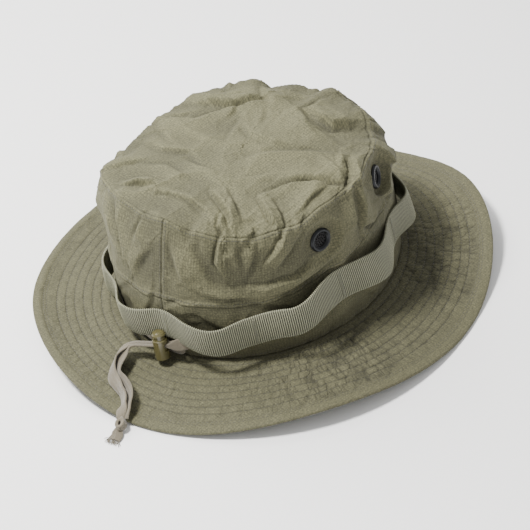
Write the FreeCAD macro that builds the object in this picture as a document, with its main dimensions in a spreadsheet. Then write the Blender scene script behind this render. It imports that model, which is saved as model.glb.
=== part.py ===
import FreeCAD, Part
import Sketcher
import math
import os
from FreeCAD import Placement, Rotation, Vector

# A boonie hat lying on a level surface. Millimetres, +Z up, +Y along the oval towards the
# forehead, +X across it. The origin is on the surface, under the middle of the brim.

doc = FreeCAD.newDocument("boonie_hat")
sizes = doc.addObject("Spreadsheet::Sheet", "sizes")

DRIVING_SIZES = (
    # the oval where crown and brim are sewn together
    ("base_half_length", 102), ("base_half_width", 79), ("base_height", 10.5),
    # the seam between the lower band of the crown and its upper side panels
    ("seam_half_length", 102), ("seam_half_width", 78), ("seam_height", 58),
    ("seam_lean_across", -4), ("seam_lean_back", -6),
    # the seam between the side panels and the top panel
    ("tip_half_length", 88), ("tip_half_width", 72), ("tip_height", 103.5),
    ("tip_lean_across", -6), ("tip_lean_back", -9.5), ("tip_rise", 6),
    # cloth, and the gap left between pieces that are sewn edge to edge
    ("cloth", 1.2), ("seam_gap", 0.2), ("brim_seam_gap", 0.5), ("panel_turn", 9),
    # brim: three layers, and the wave in its edge
    ("brim_width", 61.5), ("ply", 0.7), ("interlining", 0.6), ("brim_lift", 12.6),
    ("brim_lift_front", 3.7), ("brim_lift_ends", 4.4), ("brim_low_point", 17),
    # sweatband inside the crown
    ("sweatband_height", 25), ("sweatband_thickness", 1),
    # foliage webbing, sewn down every loop_spacing degrees
    ("webbing_width", 22), ("webbing_thickness", 1.2), ("webbing_height", 25),
    ("webbing_tilt", 7), ("webbing_high_point", 10), ("loop_depth", 8.5),
    ("loop_spacing", 36), ("first_tack", -78), ("tack_gap", 0.3),
    ("bartack_width", 1.6), ("bartack_thickness", 0.5), ("bartack_length", 18),
    # screened vent eyelets in the side panels
    ("vent_flange", 15.8), ("vent_bore", 9.4), ("vent_barrel", 10.6), ("vent_rim", 1.6),
    ("vent_washer", 14.6), ("vent_washer_thickness", 0.5), ("vent_screen", 0.4),
    ("vent_hole", 1.1), ("vent_side", 12), ("vent_spread", 21.5),
    ("vent_rear_height", 82), ("vent_front_height", 86.5),
    # chin tape and the cord lock on it
    ("tape_diameter", 2.6), ("knot_half_height", 3.8), ("knot_half_width", 4.5),
    ("knot_ends_root", 2.4), ("knot_ends_tip", 1.4),
    ("lock_diameter", 9.6), ("lock_bore", 7.9), ("lock_length", 14.6), ("lock_floor", 1.2),
    ("stem_diameter", 7.7), ("head_diameter", 8.8), ("head_height", 2.8),
    ("tape_slot_width", 6.2), ("tape_clearance", 0.2), ("tape_level", 10.2),
    ("press_travel", 2.5), ("spring_wire", 0.45), ("spring_diameter", 6.6), ("spring_turns", 4),
    ("lock_across", 13.5), ("lock_back", -111.5), ("lock_height", 23),
    ("lock_heading", -152.9), ("lock_dip", 9.8), ("lock_lean", 7),
)


def fill_sheet():
    for row, (alias, value) in enumerate(DRIVING_SIZES, start=1):
        sizes.set("A%d" % row, alias)
        sizes.set("B%d" % row, str(value))
        sizes.setAlias("B%d" % row, alias)
    doc.recompute()


def size(alias):
    return float(sizes.get(alias))


def bind(obj, **expressions):
    """Bind properties to expressions; a double underscore stands for a dot."""
    for name, expression in expressions.items():
        obj.setExpression(name.replace("__", "."), expression)
    return obj


def add(kind, name):
    return doc.addObject(kind, name)


# ---- lofted walls of the crown -----------------------------------------------------------

def oval(name, half_length, half_width, height, across="0", back="0"):
    """A level ellipse, long axis along Y, with its sizes bound to expressions."""
    ring = add("Part::Ellipse", name)
    ring.MajorRadius = 100
    ring.MinorRadius = 50
    bind(ring, MajorRadius=half_length, MinorRadius=half_width)
    ring.Placement = Placement(Vector(0, 0, 0), Rotation(90, 0, 0))
    bind(ring, Placement__Base__x=across, Placement__Base__y=back, Placement__Base__z=height)
    return ring


def loft(name, rings):
    body = add("Part::Loft", name)
    body.Sections = rings
    body.Solid = True
    body.Ruled = False
    return body


def boolean(kind, name, base, tool):
    result = add(kind, name)
    result.Base = base
    result.Tool = tool
    return result


def shell(name, rings, wall):
    """A wall between an outer loft and the same loft drawn in by the wall's thickness."""
    outer = loft(name + "_outer", [oval("%s_out_%d" % (name, i), *ring)
                                   for i, ring in enumerate(rings)])
    inner_rings = [("%s - %s" % (length, wall), "%s - %s" % (width, wall), *rest)
                   for length, width, *rest in rings]
    inner = loft(name + "_inner", [oval("%s_in_%d" % (name, i), *ring)
                                   for i, ring in enumerate(inner_rings)])
    return boolean("Part::Cut", name, outer, inner)


def half_space(name, side):
    """A big box on one side of the seam plane, which runs front to back, turned a little."""
    reach = 150
    box = add("Part::Box", name)
    box.Length = reach
    box.Width = 2 * reach
    box.Height = reach
    turn = Rotation(size("panel_turn") + (0 if side > 0 else 180), 0, 0)
    corner = turn.multVec(Vector(size("seam_gap") / 2, -reach, 0))
    box.Placement = Placement(corner, turn)
    return box


def crown_wall(name, lower, upper, holes):
    wall = shell(name + "_wall", (lower, upper), "sizes.cloth")
    for side, word in ((1, "right"), (-1, "left")):
        half = boolean("Part::Common", "%s_half_%s" % (name, word), wall,
                       half_space("%s_space_%s" % (name, word), side))
        if holes:
            cutters = add("Part::MultiFuse", "%s_cutters_%s" % (name, word))
            cutters.Shapes = holes[side]
            panel = boolean("Part::Cut", "%s_%s" % (name, word), half, cutters)
        else:
            panel = half
        publish(panel, "%s_%s" % (name, word))


def crown_top():
    """The top panel: a low dome, open underneath."""
    rings = (
        ("sizes.tip_half_length", "sizes.tip_half_width",
         "sizes.tip_height + sizes.seam_gap", "sizes.tip_lean_across", "sizes.tip_lean_back"),
        ("sizes.tip_half_length * 0.85", "sizes.tip_half_width * 0.82",
         "sizes.tip_height + sizes.tip_rise * 0.7", "sizes.tip_lean_across",
         "sizes.tip_lean_back"),
        ("sizes.tip_half_length * 0.6", "sizes.tip_half_width * 0.55",
         "sizes.tip_height + sizes.tip_rise", "sizes.tip_lean_across", "sizes.tip_lean_back"),
    )
    outer = loft("top_outer", [oval("top_out_%d" % i, *ring) for i, ring in enumerate(rings)])
    # the lowest ring keeps its height, which leaves the panel open underneath
    drops = ("", " - sizes.cloth", " - sizes.cloth")
    inner = loft("top_inner", [oval("top_in_%d" % i, ring[0] + " - sizes.cloth",
                                    ring[1] + " - sizes.cloth", ring[2] + drop, *ring[3:])
                               for i, (ring, drop) in enumerate(zip(rings, drops))])
    publish(boolean("Part::Cut", "top_panel", outer, inner), "crown_top")


def sweatband():
    """A tape inside the lower band. Its top edge follows the lean of the wall."""
    share = "(sizes.sweatband_height / (sizes.seam_height - sizes.base_height))"
    inset = " - sizes.cloth - 0.4"
    bottom = ("sizes.base_half_length" + inset, "sizes.base_half_width" + inset,
              "sizes.base_height + sizes.brim_seam_gap")
    top = ("sizes.base_half_length" + inset, "sizes.base_half_width - %s%s" % (share, inset),
           "sizes.base_height + sizes.sweatband_height",
           "sizes.seam_lean_across * " + share, "sizes.seam_lean_back * " + share)
    publish(shell("sweatband_tape", (bottom, top), "sizes.sweatband_thickness"), "sweatband")


# ---- brim ----------------------------------------------------------------------------------

def oval_normal(angle, half_length, half_width):
    return Vector(half_length * math.cos(angle), half_width * math.sin(angle), 0).normalize()


def edge_height(angle):
    """Height of the underside of the brim's edge: four low points and four lifts between."""
    lift = (size("brim_lift") + size("brim_lift_front") * math.sin(angle)
            - size("brim_lift_ends") * math.cos(2 * angle))
    return lift * math.sin(2 * (angle - math.radians(size("brim_low_point")))) ** 2


def brim_point(angle, outwards):
    """A point on the underside: outwards is 0 at the crown seam and 1 at the edge."""
    length = size("base_half_length") - size("cloth")
    width = size("base_half_width") - size("cloth")
    root_height = size("base_height") - 2 * size("ply") - size("interlining") - 2 * size("seam_gap")
    drop = root_height - edge_height(angle)
    reach = math.sqrt((size("brim_width") + size("cloth")) ** 2 - drop ** 2)
    root = Vector(width * math.cos(angle), length * math.sin(angle), root_height)
    return root + oval_normal(angle, length, width) * reach * outwards + Vector(0, 0, -drop * outwards)


def closed_curve(points):
    curve = Part.BSplineCurve()
    steps = [float(i) for i in range(len(points) + 1)]
    curve.interpolate(Points=points, PeriodicFlag=True, Parameters=steps)
    return curve.toShape()


def brim():
    """Two plies of cloth with a stiff interlining between them, stacked with small gaps."""
    count = 72
    angles = [2 * math.pi * i / count for i in range(count)]
    curves = [closed_curve([brim_point(angle, outwards) for angle in angles])
              for outwards in (0, 1)]
    underside = add("Part::Feature", "brim_underside")
    underside.Shape = Part.makeRuledSurface(*curves)
    level = "0"
    for label, thickness in (("brim_lower_ply", "sizes.ply"),
                             ("brim_interlining", "sizes.interlining"),
                             ("brim_upper_ply", "sizes.ply")):
        layer = add("Part::Extrusion", label + "_solid")
        layer.Base = underside
        layer.DirMode = "Custom"
        layer.Dir = Vector(0, 0, 1)
        bind(layer, LengthFwd=thickness, Placement__Base__z=level)
        level = "%s + %s + sizes.seam_gap" % (level, thickness)
        publish(layer, label)


# ---- foliage webbing -----------------------------------------------------------------------

def wall_lean(height):
    """How far the lower band has leaned across and back at a height."""
    share = (height - size("base_height")) / (size("seam_height") - size("base_height"))
    return Vector(size("seam_lean_across"), size("seam_lean_back"), 0) * share


def webbing_edge(degrees):
    """Height of the webbing's lower edge, which slopes up to one side of the hat."""
    swing = math.cos(math.radians(degrees - size("webbing_high_point")))
    return size("webbing_height") + size("webbing_tilt") * swing


def webbing_point(degrees, stand_off):
    """A point of the lower edge, beyond the wall by the loop's gap and by stand_off."""
    loops = math.radians(180 * (degrees - size("first_tack")) / size("loop_spacing"))
    gap = size("tack_gap") + size("loop_depth") * math.sin(loops) ** 2
    angle = math.radians(degrees)
    length = size("base_half_length")
    width = size("base_half_width")
    height = webbing_edge(degrees)
    on_wall = Vector(width * math.cos(angle), length * math.sin(angle), height) + wall_lean(height)
    return on_wall + oval_normal(angle, length, width) * (gap + stand_off)


def webbing():
    count = 120
    angles = [size("first_tack") + 360 * i / count for i in range(count)]
    curves = [closed_curve([webbing_point(degrees, stand_off) for degrees in angles])
              for stand_off in (0, size("webbing_thickness"))]
    lower_edge = add("Part::Feature", "webbing_lower_edge")
    lower_edge.Shape = Part.makeRuledSurface(*curves)
    band = add("Part::Extrusion", "webbing_solid")
    band.Base = lower_edge
    band.DirMode = "Custom"
    band.Dir = wall_lean(size("base_height") + 1) + Vector(0, 0, 1)
    bind(band, LengthFwd="sizes.webbing_width")
    publish(band, "foliage_webbing")


def bartacks():
    """A short bar of thread over each place where the webbing is sewn down."""
    bars = []
    for index in range(round(360 / size("loop_spacing"))):
        degrees = size("first_tack") + index * size("loop_spacing")
        lean = wall_lean(size("base_height") + 1) + Vector(0, 0, 1)
        outward = oval_normal(math.radians(degrees), size("base_half_length"),
                              size("base_half_width"))
        middle = webbing_point(degrees, size("webbing_thickness") + size("seam_gap"))
        middle += lean * (size("webbing_width") / 2)
        bar = Part.makeBox(size("bartack_thickness"), size("bartack_width"),
                           size("bartack_length"),
                           Vector(0, -size("bartack_width") / 2, -size("bartack_length") / 2))
        bar.Placement = Placement(middle, Rotation(outward, lean.cross(outward), lean, "ZXY"))
        bars.append(bar)
    group = add("Part::Feature", "bartack_bars")
    group.Shape = Part.makeCompound(bars)
    publish(group, "foliage_bartacks")


# ---- sketches of the small hardware ----------------------------------------------------------

def origin_plane(body, role):
    return next(item for item in body.Origin.OriginFeatures if item.Role == role)


def new_sketch(body, name, role):
    sketch = body.newObject("Sketcher::SketchObject", name)
    sketch.AttachmentSupport = [(origin_plane(body, role), "")]
    sketch.MapMode = "FlatFace"
    return sketch


def pin_point(sketch, geometry, end, x_text, y_text):
    """Hold a point at a place in its sketch that is written as two expressions."""
    for kind, axis, text in (("DistanceX", -2, x_text), ("DistanceY", -1, y_text)):
        value = float(sizes.evalExpression(text))
        if value == 0:
            sketch.addConstraint(Sketcher.Constraint("PointOnObject", geometry, end, axis))
            continue
        ends = (-1, 1, geometry, end) if value > 0 else (geometry, end, -1, 1)
        index = sketch.addConstraint(Sketcher.Constraint(kind, *ends, abs(value)))
        signed = text if value > 0 else "-(%s)" % text
        sketch.setExpression("Constraints[%d]" % index, signed)


def outline(body, name, role, corners):
    """A closed outline of straight lines; each corner is a pair of expressions."""
    sketch = new_sketch(body, name, role)
    points = [Vector(float(sizes.evalExpression(x)), float(sizes.evalExpression(y)), 0)
              for x, y in corners]
    count = len(points)
    for index in range(count):
        sketch.addGeometry(Part.LineSegment(points[index], points[(index + 1) % count]))
    for index in range(count):
        sketch.addConstraint(Sketcher.Constraint("Coincident", index, 2, (index + 1) % count, 1))
    for index, (x, y) in enumerate(corners):
        pin_point(sketch, index, 1, x, y)
    return sketch


def disc(body, name, role, radius, x="0", y="0"):
    sketch = new_sketch(body, name, role)
    centre = Vector(float(sizes.evalExpression(x)), float(sizes.evalExpression(y)), 0)
    value = float(sizes.evalExpression(radius))
    sketch.addGeometry(Part.Circle(centre, Vector(0, 0, 1), value))
    index = sketch.addConstraint(Sketcher.Constraint("Radius", 0, value))
    sketch.setExpression("Constraints[%d]" % index, radius)
    pin_point(sketch, 0, 3, x, y)
    return sketch


def revolve(body, name, sketch):
    turned = body.newObject("PartDesign::Revolution", name)
    turned.Profile = sketch
    turned.ReferenceAxis = (sketch, ["V_Axis"])
    turned.Angle = 360
    return turned


def pocket_through(body, name, sketch):
    """Cut right through, both ways from the sketch, and make sure that it cut something."""
    before = body.Shape.Volume
    cut = body.newObject("PartDesign::Pocket", name)
    cut.Profile = sketch
    cut.Type = "ThroughAll"
    cut.Midplane = True
    doc.recompute()
    if not body.Shape.Volume < before:
        raise RuntimeError(name + " cut nothing")
    return cut


# ---- vents -------------------------------------------------------------------------------------

def vent_frames():
    """Where each vent sits: its angle round the crown and its height on the side panel."""
    side = size("vent_side")
    spread = size("vent_spread")
    rear = size("vent_rear_height")
    front = size("vent_front_height")
    return (
        ("right_rear", 1, side - spread, rear), ("right_front", 1, side + spread, front),
        ("left_rear", -1, 180 + side + spread, rear), ("left_front", -1, 180 + side - spread, front),
    )


def side_point(angle, height):
    """A point on the outer face of the upper side panels."""
    share = (height - size("seam_height")) / (size("tip_height") - size("seam_height"))

    def between(first, last):
        return size(first) + (size(last) - size(first)) * share

    return Vector(
        between("seam_lean_across", "tip_lean_across")
        + between("seam_half_width", "tip_half_width") * math.cos(angle),
        between("seam_lean_back", "tip_lean_back")
        + between("seam_half_length", "tip_half_length") * math.sin(angle),
        height)


def vent_placement(degrees, height):
    """Local Z out of the cloth, local X along it, the origin on its outer face."""
    angle = math.radians(degrees)
    step = 0.01
    along = side_point(angle + step, height) - side_point(angle - step, height)
    rising = side_point(angle, height + step) - side_point(angle, height - step)
    outward = along.cross(rising).normalize()
    return Placement(side_point(angle, height), Rotation(along, rising, outward, "ZXY"))


def vent_holes():
    cutters = {1: [], -1: []}
    for word, side, degrees, height in vent_frames():
        cutter = add("Part::Cylinder", "vent_cut_" + word)
        bind(cutter, Radius="sizes.vent_barrel / 2 + 0.1")
        depth = 12
        cutter.Height = depth
        seat = vent_placement(degrees, height)
        cutter.Placement = seat.multiply(Placement(Vector(0, 0, -depth / 2), Rotation()))
        cutters[side].append(cutter)
    return cutters


def eyelet(word, seat):
    """The flange outside the cloth, dished towards its bore, and the barrel through the cloth."""
    body = add("PartDesign::Body", "eyelet_body_" + word)
    bore = "sizes.vent_bore / 2"
    barrel = "sizes.vent_barrel / 2"
    corners = (
        (bore, "0"), (barrel, "0"), (barrel, "sizes.cloth + 1.5"),
        ("sizes.vent_flange / 2", "sizes.cloth + 1.5"),
        ("sizes.vent_flange / 2", "sizes.cloth + 1.9"),
        ("sizes.vent_flange / 2 - 0.9", "sizes.cloth + 1.5 + sizes.vent_rim"),
        ("sizes.vent_flange / 2 - 1.9", "sizes.cloth + 1.5 + sizes.vent_rim"),
        (bore, "sizes.cloth + 2"),
    )
    revolve(body, "eyelet_turned_" + word, outline(body, "eyelet_" + word, "XZ_Plane", corners))
    body.Placement = seat.multiply(Placement(Vector(0, 0, -size("cloth") - 1.3), Rotation()))
    publish(body, "vent_%s_eyelet" % word)


def washer(word, seat):
    """The ring inside the crown that the barrel is clenched over."""
    body = add("PartDesign::Body", "washer_body_" + word)
    inner = "sizes.vent_barrel / 2 + 0.05"
    outer = "sizes.vent_washer / 2"
    thick = "sizes.vent_washer_thickness"
    corners = ((inner, "0"), (outer, "0"), (outer, thick), (inner, thick))
    revolve(body, "washer_turned_" + word, outline(body, "washer_" + word, "XZ_Plane", corners))
    body.Placement = seat.multiply(Placement(Vector(0, 0, -size("cloth") - 1.2), Rotation()))
    publish(body, "vent_%s_washer" % word)


def screen(word, seat):
    """A disc with a hole in the middle and two rings of holes round it, set in the bore."""
    body = add("PartDesign::Body", "screen_body_" + word)
    plate = body.newObject("PartDesign::Pad", "screen_plate_" + word)
    plate.Profile = disc(body, "screen_disc_" + word, "XY_Plane", "sizes.vent_bore / 2 - 0.05")
    bind(plate, Length="sizes.vent_screen")
    doc.recompute()
    hole = "sizes.vent_hole / 2"
    pocket_through(body, "screen_middle_" + word, disc(body, "screen_dot_" + word, "XY_Plane", hole))
    for ring, count in ((1, 6), (2, 12)):
        name = "screen_ring_%d_%s" % (ring, word)
        spot = disc(body, name + "_dot", "XY_Plane", hole, "sizes.vent_bore * %g" % (0.18 * ring))
        cut = pocket_through(body, name + "_cut", spot)
        pattern = body.newObject("PartDesign::PolarPattern", name)
        pattern.Originals = [cut]
        pattern.Axis = (spot, ["N_Axis"])
        pattern.Angle = 360
        pattern.Occurrences = count
        body.Tip = pattern
        doc.recompute()
    body.Placement = seat.multiply(Placement(Vector(0, 0, -0.2), Rotation()))
    publish(body, "vent_%s_screen" % word)


def vents():
    for word, _, degrees, height in vent_frames():
        seat = vent_placement(degrees, height)
        eyelet(word, seat)
        screen(word, seat)
        washer(word, seat)


# ---- cord lock ---------------------------------------------------------------------------------

def lock_placement():
    """Local Z up the lock, local X the way the tapes run out of it, the origin at its foot."""
    turn = Rotation(size("lock_heading"), size("lock_dip"), size("lock_lean"))
    middle = Vector(size("lock_across"), size("lock_back"), size("lock_height"))
    return Placement(middle - turn.multVec(Vector(0, 0, size("tape_level"))), turn)


def lock_barrel():
    """A cup with a slot right through it for the tapes."""
    body = add("PartDesign::Body", "lock_barrel_body")
    outer = "sizes.lock_diameter / 2"
    bore = "sizes.lock_bore / 2"
    corners = (
        ("0", "0"), (outer + " - 1", "0"), (outer, "1"), (outer, "sizes.lock_length - 0.5"),
        (outer + " - 0.5", "sizes.lock_length"), (bore, "sizes.lock_length"),
        (bore, "sizes.lock_floor"), ("0", "sizes.lock_floor"),
    )
    revolve(body, "lock_barrel_turned", outline(body, "lock_barrel_half", "XZ_Plane", corners))
    doc.recompute()
    low = "sizes.tape_level - sizes.tape_diameter / 2 - sizes.press_travel"
    high = "sizes.tape_level + sizes.tape_diameter / 2 + sizes.tape_clearance"
    pocket_through(body, "lock_barrel_slot", slot_outline(body, "lock_barrel_window", low, high))
    body.Placement = lock_placement()
    publish(body, "cord_lock_barrel")


def slot_outline(body, name, low, high):
    half = "sizes.tape_slot_width / 2"
    corners = (("-" + half, low), (half, low), (half, high), ("-" + half, high))
    return outline(body, name, "YZ_Plane", corners)


def lock_plunger():
    """A stem with a domed head. Its slot lies lower than the barrel's, so the spring pinches."""
    body = add("PartDesign::Body", "lock_plunger_body")
    stem = "sizes.stem_diameter / 2"
    head = "sizes.head_diameter / 2"
    under = "sizes.lock_length + sizes.press_travel + 0.1"
    foot = "sizes.tape_level - sizes.tape_diameter / 2 - sizes.press_travel - 0.8"
    corners = (
        ("0", foot), (stem, foot), (stem, under), (head, under), (head, under + " + 0.9"),
        (head + " * 0.82", under + " + sizes.head_height * 0.75"),
        (head + " * 0.45", under + " + sizes.head_height"), ("0", under + " + sizes.head_height"),
    )
    revolve(body, "lock_plunger_turned", outline(body, "lock_plunger_half", "XZ_Plane", corners))
    doc.recompute()
    low = "sizes.tape_level - sizes.tape_diameter / 2 - sizes.tape_clearance"
    high = "sizes.tape_level + sizes.tape_diameter / 2 + sizes.press_travel + 0.2"
    pocket_through(body, "lock_plunger_slot", slot_outline(body, "lock_plunger_window", low, high))
    body.Placement = lock_placement()
    publish(body, "cord_lock_plunger")


def lock_spring():
    """A coil between the barrel's floor and the foot of the plunger. The wire's section has
    twelve sides, which keeps the number of small faces down."""
    wire = size("spring_wire")
    floor = size("lock_floor") + wire / 2 + 0.05
    foot = size("tape_level") - size("tape_diameter") / 2 - size("press_travel") - 0.8
    height = foot - floor - wire / 2 - 0.05
    radius = (size("spring_diameter") - wire) / 2
    coil = Part.makeHelix(height / size("spring_turns"), height, radius)
    sides = 12
    turns = [2 * math.pi * side / sides for side in range(sides + 1)]
    section = Part.makePolygon([Vector(radius + wire / 2 * math.cos(turn), 0,
                                       wire / 2 * math.sin(turn)) for turn in turns])
    spring = add("Part::Feature", "lock_spring_coil")
    spring.Shape = Part.Wire(coil.Edges).makePipeShell([section], True, True)
    spring.Placement = lock_placement().multiply(Placement(Vector(0, 0, floor), Rotation()))
    publish(spring, "cord_lock_spring")


# ---- chin tape -----------------------------------------------------------------------------------

# From the middle of the lock round the whole crown, below the webbing, then behind the lock to
# fold up and back into it.
LOOP_ROUTE = (
    (14.15, -112.84, 23.18), (22.9, -108.35, 24.9), (34, -101, 22.5), (48, -86.5, 20.5),
    (68, -60, 20), (80, -28, 19.5), (83.5, 4, 19), (79, 38, 18.5), (65, 70, 18), (42, 93, 17.5),
    (14, 105.5, 17), (-15, 105.5, 16.5), (-43, 92.5, 16), (-66, 68.5, 15.5), (-80, 36, 15),
    (-84, 2, 15), (-80, -32, 15), (-66, -66, 15), (-43, -91.5, 15), (-20, -103, 15.5),
    (0, -105, 15.5), (12, -104.2, 15.5), (21.5, -103, 16), (25.3, -103.6, 20.3),
    (21.6, -105.7, 24.5), (12.85, -110.16, 22.82),
)
# The two ends, from the middle of the lock across the brim and over its edge into the knot.
TAIL_ROUTES = {
    "outer": ((14.15, -112.84, 23.18), (-4.27, -122.27, 19.61), (-7.3, -132, 12.2),
              (0.4, -141.3, 10.8), (9.2, -148, 8.9), (20.5, -152.4, 7.4), (31, -161.3, 5.4)),
    "inner": ((12.85, -110.16, 22.82), (-5.57, -119.59, 19.25), (-10.8, -130.8, 12),
              (-3.4, -142.6, 10.7), (6.8, -150.9, 8.7), (18.5, -156, 7.2), (28.6, -162.9, 5.3)),
}
KNOT_MIDDLE = Vector(31.5, -165.2, 4.3)
TAIL_END = Vector(35, -173, 1.8)


def tube(node, points, radius):
    """Straight runs joined by tangent arcs, each as large as its two runs allow."""
    edges = []
    start = points[0]
    radii = []
    for before, corner, after in zip(points, points[1:], points[2:]):
        incoming = (corner - before).normalize()
        outgoing = (after - corner).normalize()
        turn = incoming.getAngle(outgoing)
        tangent = 0.45 * min((corner - before).Length, (after - corner).Length)
        bend = tangent / math.tan(turn / 2)
        radii.append(bend)
        first = corner - incoming * tangent
        last = corner + outgoing * tangent
        inward = (outgoing - incoming).normalize()
        middle = corner + inward * (bend / math.cos(turn / 2) - bend)
        edges.append(Part.LineSegment(start, first).toShape())
        edges.append(Part.Arc(first, middle, last).toShape())
        start = last
    edges.append(Part.LineSegment(start, points[-1]).toShape())
    path = Part.Wire(edges)
    ring = Part.Circle(points[0], points[1] - points[0], radius)
    solid = path.makePipeShell([Part.Wire(ring.toShape())], True, False)
    ideal = math.pi * radius ** 2 * path.Length
    print("%s: length %.0f, volume / (section x length) %.3f, radii %s" % (
        node, path.Length, solid.Volume / ideal, " ".join("%.1f" % r for r in radii)))
    cord = add("Part::Feature", node + "_tube")
    cord.Shape = solid
    publish(cord, node)


def chin_tape():
    radius = size("tape_diameter") / 2
    loop = [Vector(*point) for point in LOOP_ROUTE]
    tube("chin_tape_loop", loop, radius)
    for word, route in TAIL_ROUTES.items():
        tube("chin_tape_tail_" + word, [Vector(*point) for point in route], radius)


def knot():
    """The overhand knot that holds both tails, with the short frayed ends beyond it."""
    ball = add("Part::Ellipsoid", "knot_ball")
    bind(ball, Radius1="sizes.knot_half_height", Radius2="sizes.knot_half_width",
         Radius3="sizes.knot_half_width")
    ball.Placement = Placement(KNOT_MIDDLE, Rotation())
    ends = add("Part::Cone", "knot_ends")
    along = TAIL_END - KNOT_MIDDLE
    bind(ends, Radius1="sizes.knot_ends_root", Radius2="sizes.knot_ends_tip")
    ends.Height = along.Length
    ends.Placement = Placement(KNOT_MIDDLE, Rotation(Vector(0, 0, 1), along))
    fused = add("Part::MultiFuse", "knot_fused")
    fused.Shapes = [ball, ends]
    publish(fused, "chin_tape_knot")


# ---- the whole hat ---------------------------------------------------------------------------------

published = []


def publish(obj, label):
    """Give a finished sub-part its name; the name is also its file's."""
    obj.Label = label
    published.append(obj)


def check_and_write():
    doc.recompute()
    faults = [obj.Name for obj in doc.Objects if {"Invalid", "Error"} & set(obj.State)]
    faults += [obj.Label for obj in published if obj.Shape.isNull() or not obj.Shape.isValid()]
    if faults:
        raise RuntimeError("not built: " + ", ".join(faults))
    os.makedirs("parts", exist_ok=True)
    for obj in published:
        obj.Shape.exportStep("parts/%s.step" % obj.Label)
        print("%-28s solids %d  volume %.1f" % (
            obj.Label, len(obj.Shape.Solids), obj.Shape.Volume))


fill_sheet()
crown_wall("crown_band",
           ("sizes.base_half_length", "sizes.base_half_width",
            "sizes.base_height + sizes.brim_seam_gap"),
           ("sizes.seam_half_length", "sizes.seam_half_width", "sizes.seam_height",
            "sizes.seam_lean_across", "sizes.seam_lean_back"), None)
crown_wall("crown_side",
           ("sizes.seam_half_length", "sizes.seam_half_width",
            "sizes.seam_height + sizes.seam_gap", "sizes.seam_lean_across",
            "sizes.seam_lean_back"),
           ("sizes.tip_half_length", "sizes.tip_half_width", "sizes.tip_height",
            "sizes.tip_lean_across", "sizes.tip_lean_back"), vent_holes())
crown_top()
sweatband()
brim()
webbing()
bartacks()
vents()
lock_barrel()
lock_plunger()
lock_spring()
chin_tape()
knot()
check_and_write()
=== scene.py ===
import functools
import math

import bmesh
import bpy
import numpy as np
from mathutils import Matrix, Vector


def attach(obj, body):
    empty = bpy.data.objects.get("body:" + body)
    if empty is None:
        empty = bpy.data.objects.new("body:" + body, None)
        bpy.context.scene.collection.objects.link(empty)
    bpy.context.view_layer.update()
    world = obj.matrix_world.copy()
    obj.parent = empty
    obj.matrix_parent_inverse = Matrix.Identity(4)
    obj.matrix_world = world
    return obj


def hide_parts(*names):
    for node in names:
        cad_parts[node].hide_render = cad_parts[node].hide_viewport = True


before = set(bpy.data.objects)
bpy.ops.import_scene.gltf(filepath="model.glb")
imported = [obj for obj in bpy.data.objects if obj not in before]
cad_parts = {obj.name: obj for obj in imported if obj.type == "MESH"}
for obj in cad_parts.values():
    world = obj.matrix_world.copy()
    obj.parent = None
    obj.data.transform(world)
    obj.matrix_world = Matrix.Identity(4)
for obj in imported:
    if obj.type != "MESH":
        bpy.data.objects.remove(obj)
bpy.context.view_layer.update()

# A boonie hat lying on a level floor. Shapes are worked out in millimetres, +Z up, +Y towards
# the forehead and +X across it, and turned into metres where a mesh is made. Places round the
# hat are angles from +X, counter-clockwise from above, and the back seam is near -79 degrees.

MM = 0.001
RNG = np.random.default_rng(20)
LATTICE = RNG.random((64, 64, 64))

# crown: half length, half width and middle (across, back) of each ring, as in the CAD
BASE = (102.0, 79.0, 0.0, 0.0)
LOWER = (102.0, 78.0, -4.0, -6.0)
TIP = (88.0, 72.0, -6.0, -9.5)
BASE_HEIGHT, LOWER_HEIGHT, TIP_HEIGHT = 10.5, 58.0, 103.5
CLOTH = 1.2
SIDE_CLOTH = 47.0  # height of the wall panels before sewing
# radius of the crown, to turn angles into lengths: a round figure at the seams, and the mean
SEAM_RADIUS, MEAN_RADIUS = 90.0, 90.5
BACK_SEAM, FRONT_SEAM = math.radians(-78.7), math.radians(101.0)

BRIM_WIDTH = 61.5
BRIM_THICKNESS = 2.4
EDGE_ROUNDING = 1.2
FIRST_ROW, ROW_PITCH = 5.5, 5.8
QUILT_ROWS = tuple(FIRST_ROW + ROW_PITCH * row for row in range(8))
HEM_ROWS = (52.8, 54.6)
BRIM_ROWS = QUILT_ROWS + HEM_ROWS
SEAM_ROW = 1.5
PUCKERS_PER_RADIAN = 25.0

VENTS = {"right_rear": (-9.5, 82.0), "right_front": (33.5, 86.5),
         "left_rear": (213.5, 82.0), "left_front": (170.5, 86.5)}
VENT_HOLE = 6.0
# the cloth lies flat this near to the middle of a vent, and free past the second distance
VENT_FLAT, VENT_FREE = 10.5, 17.5

WEBBING_WIDTH, RIB_PITCH = 22.0, 1.35
SWEATBAND_WIDTH, SWEATBAND_INSET = 25.0, 2.6
LOOPS = 10
LOOP_SPAN = 360 // LOOPS
TACK_ANGLES = tuple(-78 + LOOP_SPAN * tack for tack in range(LOOPS))

TAPE_WIDTH = 9.0
# part of its width that the tape keeps where the lock slides on it, and how far along its ends
# it starts to open out and is open
PINCHED, PINCHED_RUN, OPEN_RUN = 0.3, 15, 26


# ---- small numeric helpers ----

def unit(vectors):
    return vectors / np.linalg.norm(vectors, axis=-1, keepdims=True)


def distances_along(line):
    """How far along a line each of its points is."""
    steps = np.linalg.norm(np.diff(line, axis=0), axis=1)
    return np.concatenate([[0], np.cumsum(steps)])


def smooth_step(low, high, value):
    x = np.clip((value - low) / (high - low), 0, 1)
    return x * x * (3 - 2 * x)


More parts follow.
